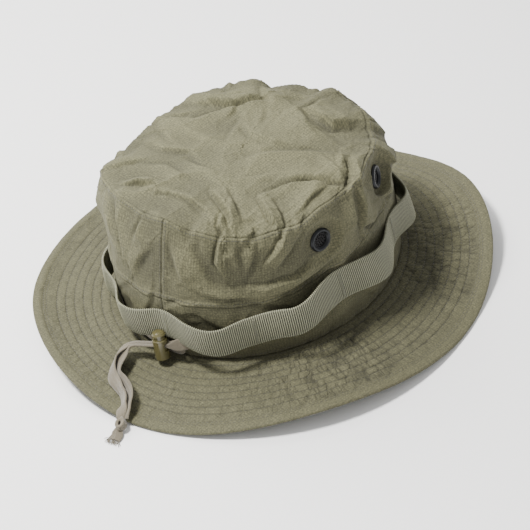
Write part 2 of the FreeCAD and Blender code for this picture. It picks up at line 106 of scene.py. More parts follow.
def round_the_hat(angle, table):
    """A value that eases between (degrees, value) pairs and closes on itself."""
    degrees = np.degrees(angle) % 360
    pairs = sorted((place % 360, value) for place, value in table)
    first, last = pairs[0], pairs[-1]
    pairs = [(last[0] - 360, last[1])] + pairs + [(first[0] + 360, first[1])]
    places = np.array([place for place, _ in pairs], float)
    values = np.array([value for _, value in pairs], float)
    left = np.clip(np.searchsorted(places, degrees, side="right") - 1, 0, len(pairs) - 2)
    across = smooth_step(0, 1, (degrees - places[left]) / (places[left + 1] - places[left]))
    return values[left] + across * (values[left + 1] - values[left])


def noise(x, y, z):
    """Smooth noise from 0 to 1 with a step of 1, repeating every 64."""
    cell, part = [], []
    for value in np.broadcast_arrays(x, y, z):
        low = np.floor(value).astype(int)
        part.append(smooth_step(0, 1, value - low))
        cell.append(low)
    total = 0.0
    for i in (0, 1):
        for j in (0, 1):
            for k in (0, 1):
                weight = ((part[0] if i else 1 - part[0]) * (part[1] if j else 1 - part[1])
                          * (part[2] if k else 1 - part[2]))
                total = total + weight * LATTICE[(cell[0] + i) % 64, (cell[1] + j) % 64,
                                                 (cell[2] + k) % 64]
    return total


def noise_round(angle, steps, y, z):
    """Noise with a number of steps in a turn. It closes on itself if 64 divides that number."""
    return noise(angle * steps / (2 * math.pi), y, z)


def ridges(points, size, shift):
    """Sharp-topped folds from 0 to 1, about size millimetres apart."""
    x, y, z = (points[..., axis] / size + shift for axis in range(3))
    return (1 - np.abs(2 * noise(x, y, z) - 1)) ** 3


# ---- meshes ----

def mesh_piece(name, points, faces, finish, uv=None, **measures):
    """A piece from points in millimetres. uv is in millimetres of cloth, and each measure is a
    number at every point that the finish may read."""
    mesh = bpy.data.meshes.new(name)
    mesh.from_pydata((np.asarray(points) * MM).tolist(), [], faces)
    corners = np.empty(len(mesh.loops), int)
    mesh.loops.foreach_get("vertex_index", corners)
    if uv is not None:
        layer = mesh.uv_layers.new(name="cloth")
        layer.data.foreach_set("uv", uv[corners].ravel())
    for word, values in measures.items():
        mesh.attributes.new(word, "FLOAT", "POINT").data.foreach_set("value", values)
    mesh.polygons.foreach_set("use_smooth", [True] * len(mesh.polygons))
    mesh.materials.append(finish)
    piece = bpy.data.objects.new(name, mesh)
    bpy.context.scene.collection.objects.link(piece)
    return piece


def cloth_piece(name, outer, inner, finish, uv, kept=None, closed=False, **measures):
    """A sheet of cloth with two sides and filled edges, from two grids of points.

    Rows run up or inwards and columns counter-clockwise, so the outer side faces out.
    kept says which cells of the grid are cloth, and closed joins the last column to the first.
    """
    rows, columns = outer.shape[:2]
    wide = columns if closed else columns - 1
    if kept is None:
        kept = np.ones((rows - 1, wide), bool)
    number = np.arange(rows * columns).reshape(rows, columns)
    following = (np.arange(wide) + 1) % columns
    a, b = number[:-1, :wide], number[:-1, following]
    c, d = number[1:, following], number[1:, :wide]
    below = rows * columns
    faces = [np.stack([a, b, c, d], -1)[kept], np.stack([a, d, c, b], -1)[kept] + below]
    padded = np.pad(kept, 1)
    if closed:
        padded[1:-1, 0], padded[1:-1, -1] = kept[:, -1], kept[:, 0]
    bare = {"low": ~padded[:-2, 1:-1], "high": ~padded[2:, 1:-1],
            "left": ~padded[1:-1, :-2], "right": ~padded[1:-1, 2:]}
    for side, (start, end) in {"low": (a, b), "right": (b, c),
                               "high": (c, d), "left": (d, a)}.items():
        edge = kept & bare[side]
        faces.append(np.stack([end[edge], start[edge], start[edge] + below,
                               end[edge] + below], -1))
    points = np.concatenate([outer.reshape(-1, 3), inner.reshape(-1, 3)])
    measures = {word: np.tile(values.ravel(), 2) for word, values in measures.items()}
    piece = mesh_piece(name, points, np.concatenate(faces).tolist(), finish,
                       np.tile(uv.reshape(-1, 2), (2, 1)), **measures)
    tidy(piece)
    return piece


def tidy(piece):
    """Merges points that fell together and drops unused ones."""
    work = bmesh.new()
    work.from_mesh(piece.data)
    bmesh.ops.remove_doubles(work, verts=work.verts, dist=1e-7)
    bmesh.ops.delete(work, geom=[v for v in work.verts if not v.link_faces], context="VERTS")
    work.to_mesh(piece.data)
    work.free()


def tube_faces(rings, around, first=0):
    """Faces of a closed tube whose rings follow one another, numbered from its first point."""
    faces = []
    for here in range(first, first + (rings - 1) * around, around):
        for k in range(around):
            after = (k + 1) % around
            faces.append((here + k, here + after, here + around + after, here + around + k))
    last = first + (rings - 1) * around
    faces.append(tuple(first + k for k in reversed(range(around))))
    faces.append(tuple(last + k for k in range(around)))
    return faces


def place(piece, material_slot, *nodes):
    """Fixes a piece to the hat and hides the CAD nodes it stands for. material_slot is not used.
    """
    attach(piece, "hat")
    if nodes:
        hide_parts(*nodes)
    return piece


def raised(level, height):
    """Points from where they are on the level, and their heights."""
    return np.concatenate([level, height[..., None]], -1)


def grid_pairs(first, second):
    """Two numbers for every point of a grid, from a value for each column and each row."""
    return np.stack(np.broadcast_arrays(first, second), -1)


def all_round(count):
    """Angles of the columns of a closed piece, from the back seam."""
    return (BACK_SEAM + np.linspace(0, 2 * math.pi, count, endpoint=False))[None, :]


def bunched(count):
    """Steps from 0 to 1 that bunch up at both ends."""
    return 0.5 - 0.5 * np.cos(math.pi * np.arange(count + 1) / count)


# ---- thread ----

# along a stitch from its middle, in half lengths: its thickness there, and its stand-off in
# half thicknesses
STITCH_PROFILE = ((-1.0, 0.4, -0.9), (-0.6, 1.0, 0.2), (0.6, 1.0, 0.2), (1.0, 0.4, -0.9))
STITCH_SIDES = 5


class Threadwork:
    """Stitches gathered into one piece."""

    def __init__(self):
        self.points, self.faces, self.count = [], [], 0

    def add(self, centres, along, up, length, thickness):
        """One stitch at each centre, lying along its direction on cloth that faces up."""
        turn = 2 * math.pi * np.arange(STITCH_SIDES) / STITCH_SIDES
        x = np.repeat([s[0] * length / 2 for s in STITCH_PROFILE], STITCH_SIDES)
        y = np.concatenate([s[1] * thickness / 2 * np.cos(turn) for s in STITCH_PROFILE])
        z = np.concatenate([(s[1] * np.sin(turn) + s[2]) * thickness / 2
                            for s in STITCH_PROFILE])
        along, side = unit(along), unit(np.cross(up, along))
        up = np.cross(along, side)
        body = (centres[:, None] + x[:, None] * along[:, None] + y[:, None] * side[:, None]
                + z[:, None] * up[:, None])
        self.points.append(body.reshape(-1, 3))
        size = len(STITCH_PROFILE) * STITCH_SIDES
        for stitch in range(len(centres)):
            self.faces += tube_faces(len(STITCH_PROFILE), STITCH_SIDES,
                                     self.count + stitch * size)
        self.count += size * len(centres)

    def row(self, line, up, pitch=2.6, length=2.1, thickness=0.42):
        """Stitches end to end along a line of close points."""
        travelled = distances_along(line)
        middles = np.arange(pitch / 2, travelled[-1], pitch)

        def at(values, where):
            return np.stack([np.interp(where, travelled, values[:, axis]) for axis in range(3)],
                            -1)

        along = at(line, middles + 0.5) - at(line, middles - 0.5)
        wander = RNG.normal(0, 0.03, (len(middles), 3))
        self.add(at(line, middles), unit(along) + wander, at(up, middles), length, thickness)

    def piece(self, name, finish):
        return mesh_piece(name, np.concatenate(self.points), self.faces, finish)


# ---- materials ----

class Finish:
    """A material being made: node() adds a node, and links or sets its inputs."""

    def __init__(self, name, **sockets):
        self.material = bpy.data.materials.new(name)
        self.material.use_nodes = True
        self.tree = self.material.node_tree
        self.shader = self.tree.nodes["Principled BSDF"]
        self.set(self.shader, sockets)

    def set(self, node, inputs):
        for name, value in inputs.items():
            name = name.replace("_", " ") if isinstance(name, str) else name
            if isinstance(value, bpy.types.NodeSocket):
                self.tree.links.new(value, node.inputs[name])
            else:
                node.inputs[name].default_value = value

    def node(self, kind, inputs, output=0, **settings):
        made = self.tree.nodes.new("ShaderNode" + kind)
        for name, value in settings.items():
            setattr(made, name, value)
        self.set(made, inputs)
        return made.outputs[output]

    def math(self, operation, *values):
        return self.node("Math", dict(enumerate(values)), operation=operation)

    def times(self, *values):
        return functools.reduce(functools.partial(self.math, "MULTIPLY"), values)

    def plus(self, *values):
        return functools.reduce(functools.partial(self.math, "ADD"), values)

    def noise(self, scale, detail=3.0, roughness=0.55, vector=None):
        vector = vector or self.node("TexCoord", {}, output="Object")
        return self.node("TexNoise", {"Vector": vector, "Scale": scale, "Detail": detail,
                                      "Roughness": roughness})

    def blend(self, factor, first, second):
        """Mixes two colours by a factor from 0 to 1."""
        return self.node("Mix", {0: factor, 6: first, 7: second}, output=2, data_type="RGBA")

    def mottled(self, factor, colour, dark, light):
        """A colour that goes from darker to lighter with a factor from 0 to 1."""
        return self.blend(factor, tint(colour, dark), tint(colour, light))

    def dimmed(self, colour, value):
        """A colour times a number."""
        return self.node("VectorMath", {0: colour, "Scale": value}, operation="SCALE")

    def shade(self, factor, low, high):
        """Maps a factor from 0 to 1 onto low to high."""
        return self.node("MapRange", {"Value": factor, "To Min": low, "To Max": high})

    def split(self, vector):
        """The outputs X, Y and Z of a vector."""
        parts = self.tree.nodes.new("ShaderNodeSeparateXYZ")
        self.set(parts, {0: vector})
        return parts.outputs

    def cloth_axes(self):
        cloth = self.node("UVMap", {}, uv_map="cloth")
        parts = self.split(cloth)
        return parts["X"], parts["Y"], cloth

    def stripes(self, coordinate, pitch, sharpness=1.0):
        """Bright lines from 0 to 1, pitch apart, the first of them half a pitch from the edge."""
        angle = self.math("MULTIPLY_ADD", coordinate, 2 * math.pi / pitch, math.pi)
        wave = self.math("MULTIPLY_ADD", self.math("COSINE", angle), 0.5, 0.5)
        return wave if sharpness == 1.0 else self.math("POWER", wave, sharpness)

    def ridged(self, wave, sharpness):
        """Turns noise into thin bright lines where it crosses its middle value."""
        off = self.math("ABSOLUTE", self.math("MULTIPLY_ADD", wave, 2.0, -1.0))
        return self.math("POWER", self.math("SUBTRACT", 1.0, off), sharpness)

    def measure(self, name):
        """A number held at each point of the mesh."""
        return self.node("Attribute", {}, output="Fac", attribute_name=name)

    def bump(self, height, depth, strength, onto=None):
        inputs = {"Height": height, "Distance": depth * MM, "Strength": strength}
        if onto is not None:
            inputs["Normal"] = onto
        return self.node("Bump", inputs)


def grey(value):
    return (value, value, value, 1.0)


def tint(colour, factor):
    return tuple(channel * factor for channel in colour) + (1.0,)


def ripstop(name, colour, weave_strength=1.0, quilted=False):
    """Cotton ripstop: a fine plain weave with a square grid of doubled threads."""
    make = Finish(name, Roughness=0.86, Sheen_Weight=0.1, Sheen_Roughness=0.5)
    across, up, cloth = make.cloth_axes()
    relief = make.measure("relief")
    threads = make.times(make.stripes(across, 0.62), make.stripes(up, 0.58))
    grid = make.math("MAXIMUM", make.stripes(across, 1.8, 6.0), make.stripes(up, 1.7, 6.0))
    slub = make.noise(0.95, 2.0, 0.6, vector=cloth)
    grain = make.noise(0.55, 3.0, 0.7, vector=cloth)
    patches = make.noise(26.0, 4.0, 0.6)
    fade = make.noise(9.0, 2.0)
    base = make.mottled(make.shade(patches, 0.1, 0.9), colour, 0.84, 1.13)
    warmer = (colour[0] * 1.06, colour[1] * 1.0, colour[2] * 0.86, 1.0)
    base = make.blend(make.shade(fade, 0.0, 0.5), base, warmer)
    speckle = make.times(make.shade(slub, 0.1, 1.9), make.shade(grain, 0.4, 1.6))
    weave = make.math("MULTIPLY_ADD", threads, 0.2 * weave_strength, 0.94)
    weave = make.math("SUBTRACT", weave, make.times(grid, 0.3 * weave_strength))
    # painted shade deep in folds, seams and quilting grooves, and painted light on their tops,
    # from the relief measure
    value = make.times(speckle, weave, make.shade(relief, 0.5, 1.26))
    crinkle = make.times(make.ridged(make.noise(48.0, 1.0, 0.4), 7.0), make.noise(17.0, 1.0))
    folds = make.plus(make.noise(150.0, 5.0, 0.65), crinkle)
    normal = make.bump(folds, 1.0, 0.85)
    if quilted:
        drawn = quilting_lines(make)
        # painted shade along the brim's stitch rows and in the puckers between them
        value = make.times(value, make.shade(drawn, 1.0, 0.58))
        normal = make.bump(make.math("SUBTRACT", 1.0, drawn), 0.7, 0.9, onto=normal)
    height = make.plus(make.times(threads, 0.5), make.times(grid, 0.6), make.times(slub, 0.5))
    normal = make.bump(height, 0.14, 0.6 * weave_strength, onto=normal)
    make.set(make.shader, {"Base Color": make.dimmed(base, value), "Normal": normal,
                           "Roughness": make.shade(patches, 0.8, 0.95),
                           "Sheen Tint": tint(colour, 2.2)})
    return make.material


def quilting_lines(make):
    """How far the brim's cloth is drawn in, from 0 to 1: along its stitch rows, and in short
    puckers across each channel between them."""
    outwards, pucker = make.measure("outwards"), make.measure("pucker")
    from_row = make.math("SUBTRACT", outwards, FIRST_ROW - ROW_PITCH / 2)
    rows = make.stripes(from_row, ROW_PITCH, 24.0)
    rows = make.times(rows, make.math("LESS_THAN", outwards, HEM_ROWS[0] - 2))
    channel = make.math("FLOOR", make.math("DIVIDE", make.math("SUBTRACT", outwards, FIRST_ROW),
                                           ROW_PITCH))
    spot = make.split(make.node("TexCoord", {}, output="Object"))
    turn = make.math("ARCTAN2", spot["Y"], spot["X"])
    vector = make.node("CombineXYZ", {"X": make.times(turn, PUCKERS_PER_RADIAN),
                                      "Y": make.times(channel, 7.3),
                                      "Z": make.times(outwards, 0.06)})
    across = make.ridged(make.noise(1.0, 1.0, 0.5, vector=vector), 9.0)
    across = make.times(across, make.times(pucker, 0.75))
    return make.math("MINIMUM", make.math("MULTIPLY_ADD", rows, 0.4, across), 1.0)


def ribbed_webbing(name, colour, pale):
    """Ribbed webbing: pale crosswise threads in the hollows, and pale selvedges."""
    make = Finish(name, Roughness=0.62, Sheen_Weight=0.15, Sheen_Roughness=0.4)
    along, across, cloth = make.cloth_axes()
    ribs = make.stripes(along, RIB_PITCH, 1.5)
    warp = make.stripes(across, 0.55)
    edge = make.math("ABSOLUTE", make.math("SUBTRACT", across, WEBBING_WIDTH / 2))
    selvedge = make.node("MapRange", {"Value": edge, "From Min": WEBBING_WIDTH / 2 - 1.3,
                                      "From Max": WEBBING_WIDTH / 2 - 0.3})
    patches = make.noise(40.0, 3.0)
    fray = make.noise(1.1, 3.0, vector=cloth)
    body = make.mottled(patches, colour, 0.8, 1.15)
    ribbed = make.times(ribs, make.shade(fray, 0.45, 1.05), 0.9)
    body = make.blend(ribbed, body, tint(pale, 1.0))
    edged = make.times(selvedge, make.shade(fray, 0.1, 1.0), 0.3)
    body = make.blend(edged, body, tint(pale, 0.6))
    height = make.plus(make.times(warp, 0.5), make.times(ribs, 0.6))
    normal = make.bump(height, 0.22, 0.8)
    make.set(make.shader, {"Base Color": body, "Normal": normal,
                           "Roughness": make.shade(fray, 0.5, 0.78)})
    return make.material


def flat_tape(name, colour):
    """Soft cotton tape, woven in a fine herringbone."""
    make = Finish(name, Roughness=0.88, Sheen_Weight=0.3, Sheen_Roughness=0.5)
    along, across, cloth = make.cloth_axes()
    zigzag = make.math("PINGPONG", across, 1.5)
    twill = make.stripes(make.plus(along, zigzag), 0.75)
    warp = make.stripes(across, 0.5)
    fray = make.noise(0.9, 3.0, vector=cloth)
    dirt = make.noise(60.0, 4.0)
    body = make.mottled(dirt, colour, 0.78, 1.12)
    value = make.times(make.shade(twill, 0.84, 1.1), make.shade(fray, 0.75, 1.22))
    height = make.plus(make.times(twill, 0.6), make.times(warp, 0.4))
    make.set(make.shader, {"Base Color": make.dimmed(body, value),
                           "Normal": make.bump(height, 0.18, 0.8)})
    return make.material


def thread(name, colour):
    """Twisted polyester-cotton sewing thread."""
    make = Finish(name, Roughness=0.6, Sheen_Weight=0.2)
    twist = make.noise(2600.0, 2.0)
    body = make.mottled(twist, colour, 0.7, 1.2)
    make.set(make.shader, {"Base Color": body, "Normal": make.bump(twist, 0.1, 0.6)})
    return make.material


def gunmetal(name, colour):
    """Blackened brass, rubbed brighter in patches, with fine scratches."""
    make = Finish(name, Metallic=0.85, Specular_IOR_Level=0.5)
    wear = make.noise(180.0, 5.0, 0.6)
    scratches = make.noise(900.0, 4.0, 0.75)
    body = make.mottled(make.shade(wear, 0.0, 0.9), colour, 0.7, 2.2)
    make.set(make.shader, {"Base Color": body, "Roughness": make.shade(wear, 0.28, 0.55),
                           "Normal": make.bump(scratches, 0.05, 0.5)})
    return make.material


def moulded(name, colour, roughness):
    """Glossy moulded plastic with faint flow marks, rubs and dust."""
    make = Finish(name, Specular_IOR_Level=0.55, Coat_Weight=0.35, Coat_Roughness=0.12)
    marks = make.noise(220.0, 4.0, 0.6)
    body = make.mottled(marks, colour, 0.75, 1.25)
    make.set(make.shader, {"Base Color": body, "Normal": make.bump(marks, 0.06, 0.4),
                           "Roughness": make.shade(marks, roughness * 0.7, roughness * 1.5)})
    return make.material


def wire(name, colour):
    """Fine wire, tarnished in spots."""
    make = Finish(name, Metallic=0.9)
    tarnish = make.noise(500.0, 3.0)
    body = make.mottled(tarnish, colour, 0.6, 1.6)
    make.set(make.shader, {"Base Color": body, "Roughness": make.shade(tarnish, 0.35, 0.6),
                           "Normal": make.bump(tarnish, 0.05, 0.4)})
    return make.material


OLIVE = (0.084, 0.082, 0.045)
FINISHES = {
    "crown": ripstop("crown_cloth", OLIVE),
    "brim": ripstop("brim_cloth", OLIVE, 0.7, quilted=True),
    "sweatband": ripstop("sweatband_tape", (0.125, 0.12, 0.075), 1.4),
    "webbing": ribbed_webbing("webbing", (0.010, 0.011, 0.006), (0.47, 0.47, 0.31)),
    "tape": flat_tape("chin_tape", (0.138, 0.118, 0.080)),
    "thread": thread("thread", (0.13, 0.13, 0.085)),
    "dark thread": thread("dark_thread", (0.045, 0.043, 0.027)),
    "eyelet": gunmetal("eyelet_gunmetal", (0.016, 0.017, 0.018)),
    "screen": wire("vent_screen", (0.012, 0.012, 0.012)),
    "lock": moulded("lock_plastic", (0.075, 0.066, 0.026), 0.2),
    "spring": wire("spring_steel", (0.45, 0.45, 0.44)),
}


# ---- crown ----

# how high the two crown seams stand round the slumped crown
LOWER_SEAM_HEIGHT = ((-150, 52), (-118, 51), (-98, 52.5), (-77, 55.5), (-60, 54.5), (-43, 52.5),
                     (-25, 53), (-3, 59), (20, 65), (40, 66), (70, 64), (110, 62), (150, 59),
                     (180, 55))
TIP_SEAM_HEIGHT = ((-175, 100.5), (-152, 101.5), (-128, 106.5), (-108, 109), (-93, 109),
                   (-79, 110.5), (-64, 105), (-50, 100.5), (-38, 98.5), (-27, 100), (-19, 98.5),
                   (-6, 104), (11, 104.5), (27, 107), (42, 104), (56, 100), (70, 106), (85, 104),
                   (93, 106.5), (103, 101), (115, 103.5), (126, 100), (137, 106.5), (150, 105),
                   (166, 103.5))
# how far the side panels and the band belly out between their seams
SIDE_BELLY = ((-180, 3.5), (-150, 2.5), (-128, 2.5), (-100, 2.5), (-60, 2.5), (-30, 2), (-10, 2.5),
              (12, 3), (32, 5), (52, 8), (75, 6), (110, 4), (150, 4))
BAND_BELLY = ((-180, 2.5), (-130, 3), (-90, 1.5), (-50, 2.5), (-15, 3), (20, 1), (60, 2),
              (120, 2.5))
TIP_RISE_HEIGHT = 109.0
TIP_CREASE_HEIGHT = 106.0  # a level near the whole tip, where its creases are drawn
# every crease is this much narrower and deeper than its row says, and on the tip deeper again
CREASE_WIDTH, CREASE_DEPTH, TIP_CREASE_DEPTH = 0.78, 1.1, 1.2
# how far the tip seam sags outwards from its oval, most of all at the back left corner
TIP_SPREAD = ((-165, 0), (-147, 3), (-130, 9), (-115, 5), (-98, 1), (-60, 0), (60, 0))

# general crumpling: the size of the folds, a shift and their depth
CRUMPLING = ((36, 0.0, 2.2), (17, 9.1, 0.8), (7, 31.7, 0.15))

# creases: where each runs, in (angle, height) on the walls or (across, back) on the tip, with
# its width and its depth; a negative depth puts the steep face on the other side
WALL_CREASES = (
    (((-51, 103), (-53, 95), (-54, 86), (-50, 74)), 2.4, 2.6),
    (((-46, 101), (-47, 90), (-45, 80)), 4.0, -1.6),
    (((-23, 99), (-28, 91), (-34, 80)), 3.0, 2.6),
    (((-18, 97), (-25, 86), (-31, 76)), 4.5, -2.0),
    (((0, 79), (-10, 71), (-22, 65), (-34, 64), (-46, 67)), 4.0, 2.4),
    (((-2, 72), (-14, 64), (-27, 59), (-40, 60)), 5.0, -1.6),
    (((16, 104), (14, 92), (12, 80), (11, 69)), 4.6, 3.2),
    (((9, 101), (7, 90), (6, 78)), 5.0, -2.4),
    (((12, 76), (17, 71), (23, 70)), 4.6, 2.8),
    (((30, 76), (37, 72), (46, 68)), 4.0, 2.4),
    (((40, 99), (44, 88), (50, 78)), 3.5, 2.6),
    (((47, 101), (52, 88), (58, 79)), 5.0, -2.2),
    (((-110, 104), (-104, 92), (-101, 78), (-99, 66)), 5.0, 2.6),
    (((-118, 100), (-112, 86), (-110, 72)), 7.0, -1.3),
    (((-90, 104), (-92, 96), (-94, 88)), 3.5, 2.0),
    (((-86, 90), (-92, 78), (-95, 66)), 6.0, -1.8),
    (((-67, 97), (-62, 84), (-57, 71), (-50, 60)), 6.0, -1.8),
    (((-73, 94), (-70, 82), (-67, 72)), 4.5, 1.8),
    (((-60, 66), (-50, 62), (-40, 60)), 3.5, 1.8),
    (((-38, 96), (-40, 86), (-42, 76)), 3.5, -1.4),
    (((60, 100), (64, 88), (70, 76)), 6.0, 1.4),
    (((88, 102), (84, 90), (86, 76)), 4.0, 2.4),
    (((110, 98), (114, 84), (112, 70)), 4.5, 2.6),
    (((130, 100), (126, 86), (130, 70)), 4.0, 2.4),
    (((152, 101), (154, 88), (150, 76)), 4.0, 2.4),
    (((190, 98), (192, 84), (188, 70)), 4.5, 2.6),
    (((212, 100), (206, 90), (204, 72)), 4.0, 2.0),
    (((228, 101), (230, 86), (226, 68)), 4.0, 2.4),
    (((-14, 45), (-5, 38), (4, 33)), 4.0, 1.6),
    (((-60, 46), (-52, 38), (-46, 28)), 4.5, 1.4),
    (((-100, 44), (-96, 36), (-88, 30)), 4.5, 1.4),
    (((150, 50), (156, 38), (150, 26)), 5.0, 1.6),
    (((100, 50), (96, 38), (102, 26)), 5.0, 1.6),
)
TIP_CREASES = (
    (((-37, -86), (-29, -80), (-21, -76)), 2.4, 2.6),
    (((-36, -80), (-28, -74), (-18, -71)), 4.0, -1.8),
    (((-16, -80), (-8, -75), (4, -72), (22, -71)), 3.0, 2.0),
    (((9, -56), (20, -60), (33, -65), (41, -71)), 2.6, 3.0),
    (((14, -50), (26, -56), (38, -63)), 4.0, -2.0),
    (((28, -66), (33, -74), (40, -79), (47, -86)), 2.6, 2.4),
    (((34, -40), (42, -44), (50, -48), (62, -53)), 2.2, 2.6),
    (((40, -37), (50, -41), (60, -46)), 4.0, -2.2),
    (((68, 6), (57, -5), (47, -11), (38, -24), (34, -38)), 3.4, 2.0),
    (((63, 8), (52, 1), (42, -6), (31, -20)), 5.5, -1.8),
    (((59, -30), (57, -18), (57, -6)), 3.0, 2.0),
    (((52, 26), (58, 20), (65, 14), (70, 6)), 3.5, 3.2),
    (((45, 24), (52, 15), (59, 6)), 6.0, -2.0),
    (((-70, 8), (-58, 14), (-45, 20), (-36, 44)), 5.0, 2.4),
    (((-1, 50), (9, 47), (18, 48), (23, 60)), 6.0, 3.4),
    (((-14, 44), (-4, 38), (10, 34), (28, 34)), 6.0, -1.8),
    (((-72, -18), (-52, -8), (-38, 20), (-30, 40)), 6.0, -2.2),
    (((-62, -40), (-46, -42), (-30, -34), (-14, -38)), 5.0, 1.6),
    (((4, -22), (14, -4), (30, 14), (42, 22)), 6.0, -1.4),
    (((-24, 10), (-10, 4), (6, 6), (18, 14)), 6.0, 1.4),
    (((-44, -66), (-28, -56), (-12, -58)), 5.0, -1.2),
    (((-4, 66), (-2, 52), (-10, 36)), 5.0, 2.4),
    (((-46, 52), (-36, 44), (-24, 40)), 5.0, 2.0),
)


def ring_normal(angle, ring):
    """Level direction out of an oval, across and back."""
    length, width = ring[:2]
    return unit(np.stack([length * np.cos(angle), width * np.sin(angle)], -1))


def ring_point(angle, ring, outwards=0.0):
    length, width, across, back = ring
    normal = ring_normal(angle, ring)
    return np.stack([across + width * np.cos(angle) + outwards * normal[..., 0],
                     back + length * np.sin(angle) + outwards * normal[..., 1]], -1)


def between(angle, first, last, share, outwards=0.0):
    """Across and back of a point part of the way from one ring to another."""
    share = np.asarray(share)[..., None]
    return ((1 - share) * ring_point(angle, first, outwards)
            + share * ring_point(angle, last, outwards))


def upright(level, height, outwards, tilt):
    """Joins level and upright parts of points and of normals tilted up by tilt radians."""
    points = raised(level, height)
    tilt = np.asarray(tilt)[..., None] + 0 * height[..., None]
    normals = np.concatenate([outwards * np.cos(tilt), np.sin(tilt)], -1)
    return points, unit(normals)


def plain_wall(angle, height):
    """A point of the CAD model's wall, without slump or creases."""
    height = np.asarray(height, float) + 0 * angle
    low = np.clip((height - BASE_HEIGHT) / (LOWER_HEIGHT - BASE_HEIGHT), 0, 1)
    high = np.clip((height - LOWER_HEIGHT) / (TIP_HEIGHT - LOWER_HEIGHT), 0, 1.2)
    level = np.where(height[..., None] < LOWER_HEIGHT, between(angle, BASE, LOWER, low),
                     between(angle, LOWER, TIP, high))
    return raised(level, height)


def from_vent(points):
    """How far each point is from the middle of the nearest vent."""
    vents = [plain_wall(np.array(math.radians(degrees)), np.array(height))
             for degrees, height in VENTS.values()]
    return np.min([np.linalg.norm(points - vent, axis=-1) for vent in vents], axis=0)


def near_vent(points):
    """1 at the vents, falling to 0 a little way off."""
    return 1 - smooth_step(VENT_FLAT, VENT_FREE, from_vent(points))


def crease_paths():
    """Every crease as points in space with its half width and depth."""
    paths = []
    for route, width, depth in WALL_CREASES:
        angles = np.radians([place[0] for place in route])
        paths.append((plain_wall(angles, np.array([place[1] for place in route], float)),
                      width, depth))
    for route, width, depth in TIP_CREASES:
        paths.append((np.array([(x, y, TIP_CREASE_HEIGHT) for x, y in route]), width,
                      TIP_CREASE_DEPTH * depth))
    return [(path, CREASE_WIDTH * width, CREASE_DEPTH * depth) for path, width, depth in paths]


def chance_creases(count=110):
    """Short crisp creases scattered over the crown, as a packed and worn hat has."""
    paths = []
    for _ in range(count):
        angle, height = RNG.uniform(-math.pi, math.pi), RNG.uniform(14, 150)
        if height < TIP_HEIGHT:
            start = plain_wall(np.array(angle), np.array(height))
            sideways = np.array([-math.sin(angle), math.cos(angle), 0.0])
            other = np.array([0.0, 0.0, 1.0])
        else:
            reach = math.sqrt(RNG.uniform(0.02, 1.0))
            start = np.array([*(reach * ring_point(np.array(angle), TIP)), TIP_CREASE_HEIGHT])
            sideways, other = np.array([1.0, 0.0, 0.0]), np.array([0.0, 1.0, 0.0])
        turn, bend = RNG.uniform(0, math.pi), RNG.normal(0, 0.35)
        length = RNG.uniform(7, 20)
        first = math.cos(turn) * sideways + math.sin(turn) * other
        second = math.cos(turn + bend) * sideways + math.sin(turn + bend) * other
        path = np.array([start - length * first, start, start + length * second])
        paths.append((path, RNG.uniform(2.4, 4.2), RNG.uniform(-1.5, 1.5)))
    return paths


def crease_height(points, normals, path, width, depth):
    """How far one crease lifts each point along its normal: a fold with a long slope on one
    side and a steep face with a thin valley at its foot on the other. A negative depth swaps
    the sides. Distances are measured along the cloth, and a path far above or below the cloth
    has no effect."""
    lengths = np.linalg.norm(np.diff(path, axis=0), axis=1)
    whole, gone = lengths.sum(), 0.0
    closest = np.full(points.shape[:-1], 1e9)
    place, side, lifted = (np.zeros(points.shape[:-1]) for _ in range(3))
    for start, end, length in zip(path[:-1], path[1:], lengths):
        step = (end - start) / length
        along = np.clip((points - start) @ step, 0, length)
        offset = points - start - along[..., None] * step
        away = np.linalg.norm(offset, axis=-1)
        nearer = away < closest
        closest = np.where(nearer, away, closest)
        place = np.where(nearer, (gone + along) / whole, place)
        lifted = np.where(nearer, np.sum(offset * normals, axis=-1), lifted)
        leftwards = np.sum(np.cross(normals, step) * offset, axis=-1)
        side = np.where(nearer, np.tanh(leftwards * 3), side)
        gone += length
    reach = 1 - smooth_step(12, 22, np.abs(lifted))
    taper = reach * np.sin(math.pi * np.clip(0.04 + 0.92 * place, 0, 1)) ** 0.7
    level = np.sqrt(np.maximum(closest ** 2 - lifted ** 2, 0))
    across = level * side * math.copysign(1, depth)
    slope = np.exp(-(np.maximum(across, 0) / (2.0 * width)) ** 1.6)
    face = np.exp(-(np.minimum(across, 0) / (0.5 * width)) ** 2)
    valley = 0.5 * np.exp(-((across + 1.0 * width) / (0.5 * width)) ** 2)
    return abs(depth) * taper * (slope * face - valley)


CREASES = crease_paths() + chance_creases()


def rumple(points, normals):
    """Creases and general crumpling of the crown, in millimetres along the normal."""
    total = sum(depth * (ridges(points, size, shift) - 0.3) for size, shift, depth in CRUMPLING)
    for path, width, depth in CREASES:
        total = total + crease_height(points, normals, path, width, depth)
    return total


def seam_puckers(points, distance, size=5.0, depth=0.55):
    """Short folds across a seam, dying out a few millimetres from it."""
    angle = np.arctan2(points[..., 1], points[..., 0])
    wave = noise_round(angle, 128, distance / 60.0, points[..., 2] / 90.0) - 0.5
    return 2 * depth * wave * np.exp(-distance / size)


def groove(distance, depth, width=0.6):
    return -depth * np.exp(-(distance / width) ** 2)


def strip(distance, middle, width, height):
    """The raised strip of cloth that is folded under beside a seam."""
    return height * np.exp(-((distance - middle) / width) ** 4)


def upright_seam_relief(angle):
    """The flat-felled seams up the back and front: a groove with a raised strip beside it."""
    total = 0.0
    for seam in (BACK_SEAM, FRONT_SEAM):
        offset = SEAM_RADIUS * ((angle - seam + math.pi) % (2 * math.pi) - math.pi)
        total = total + groove(np.abs(offset), 0.45, 0.5)
        total = total + strip(offset, 2.6, 2.0, 0.45)
    return total


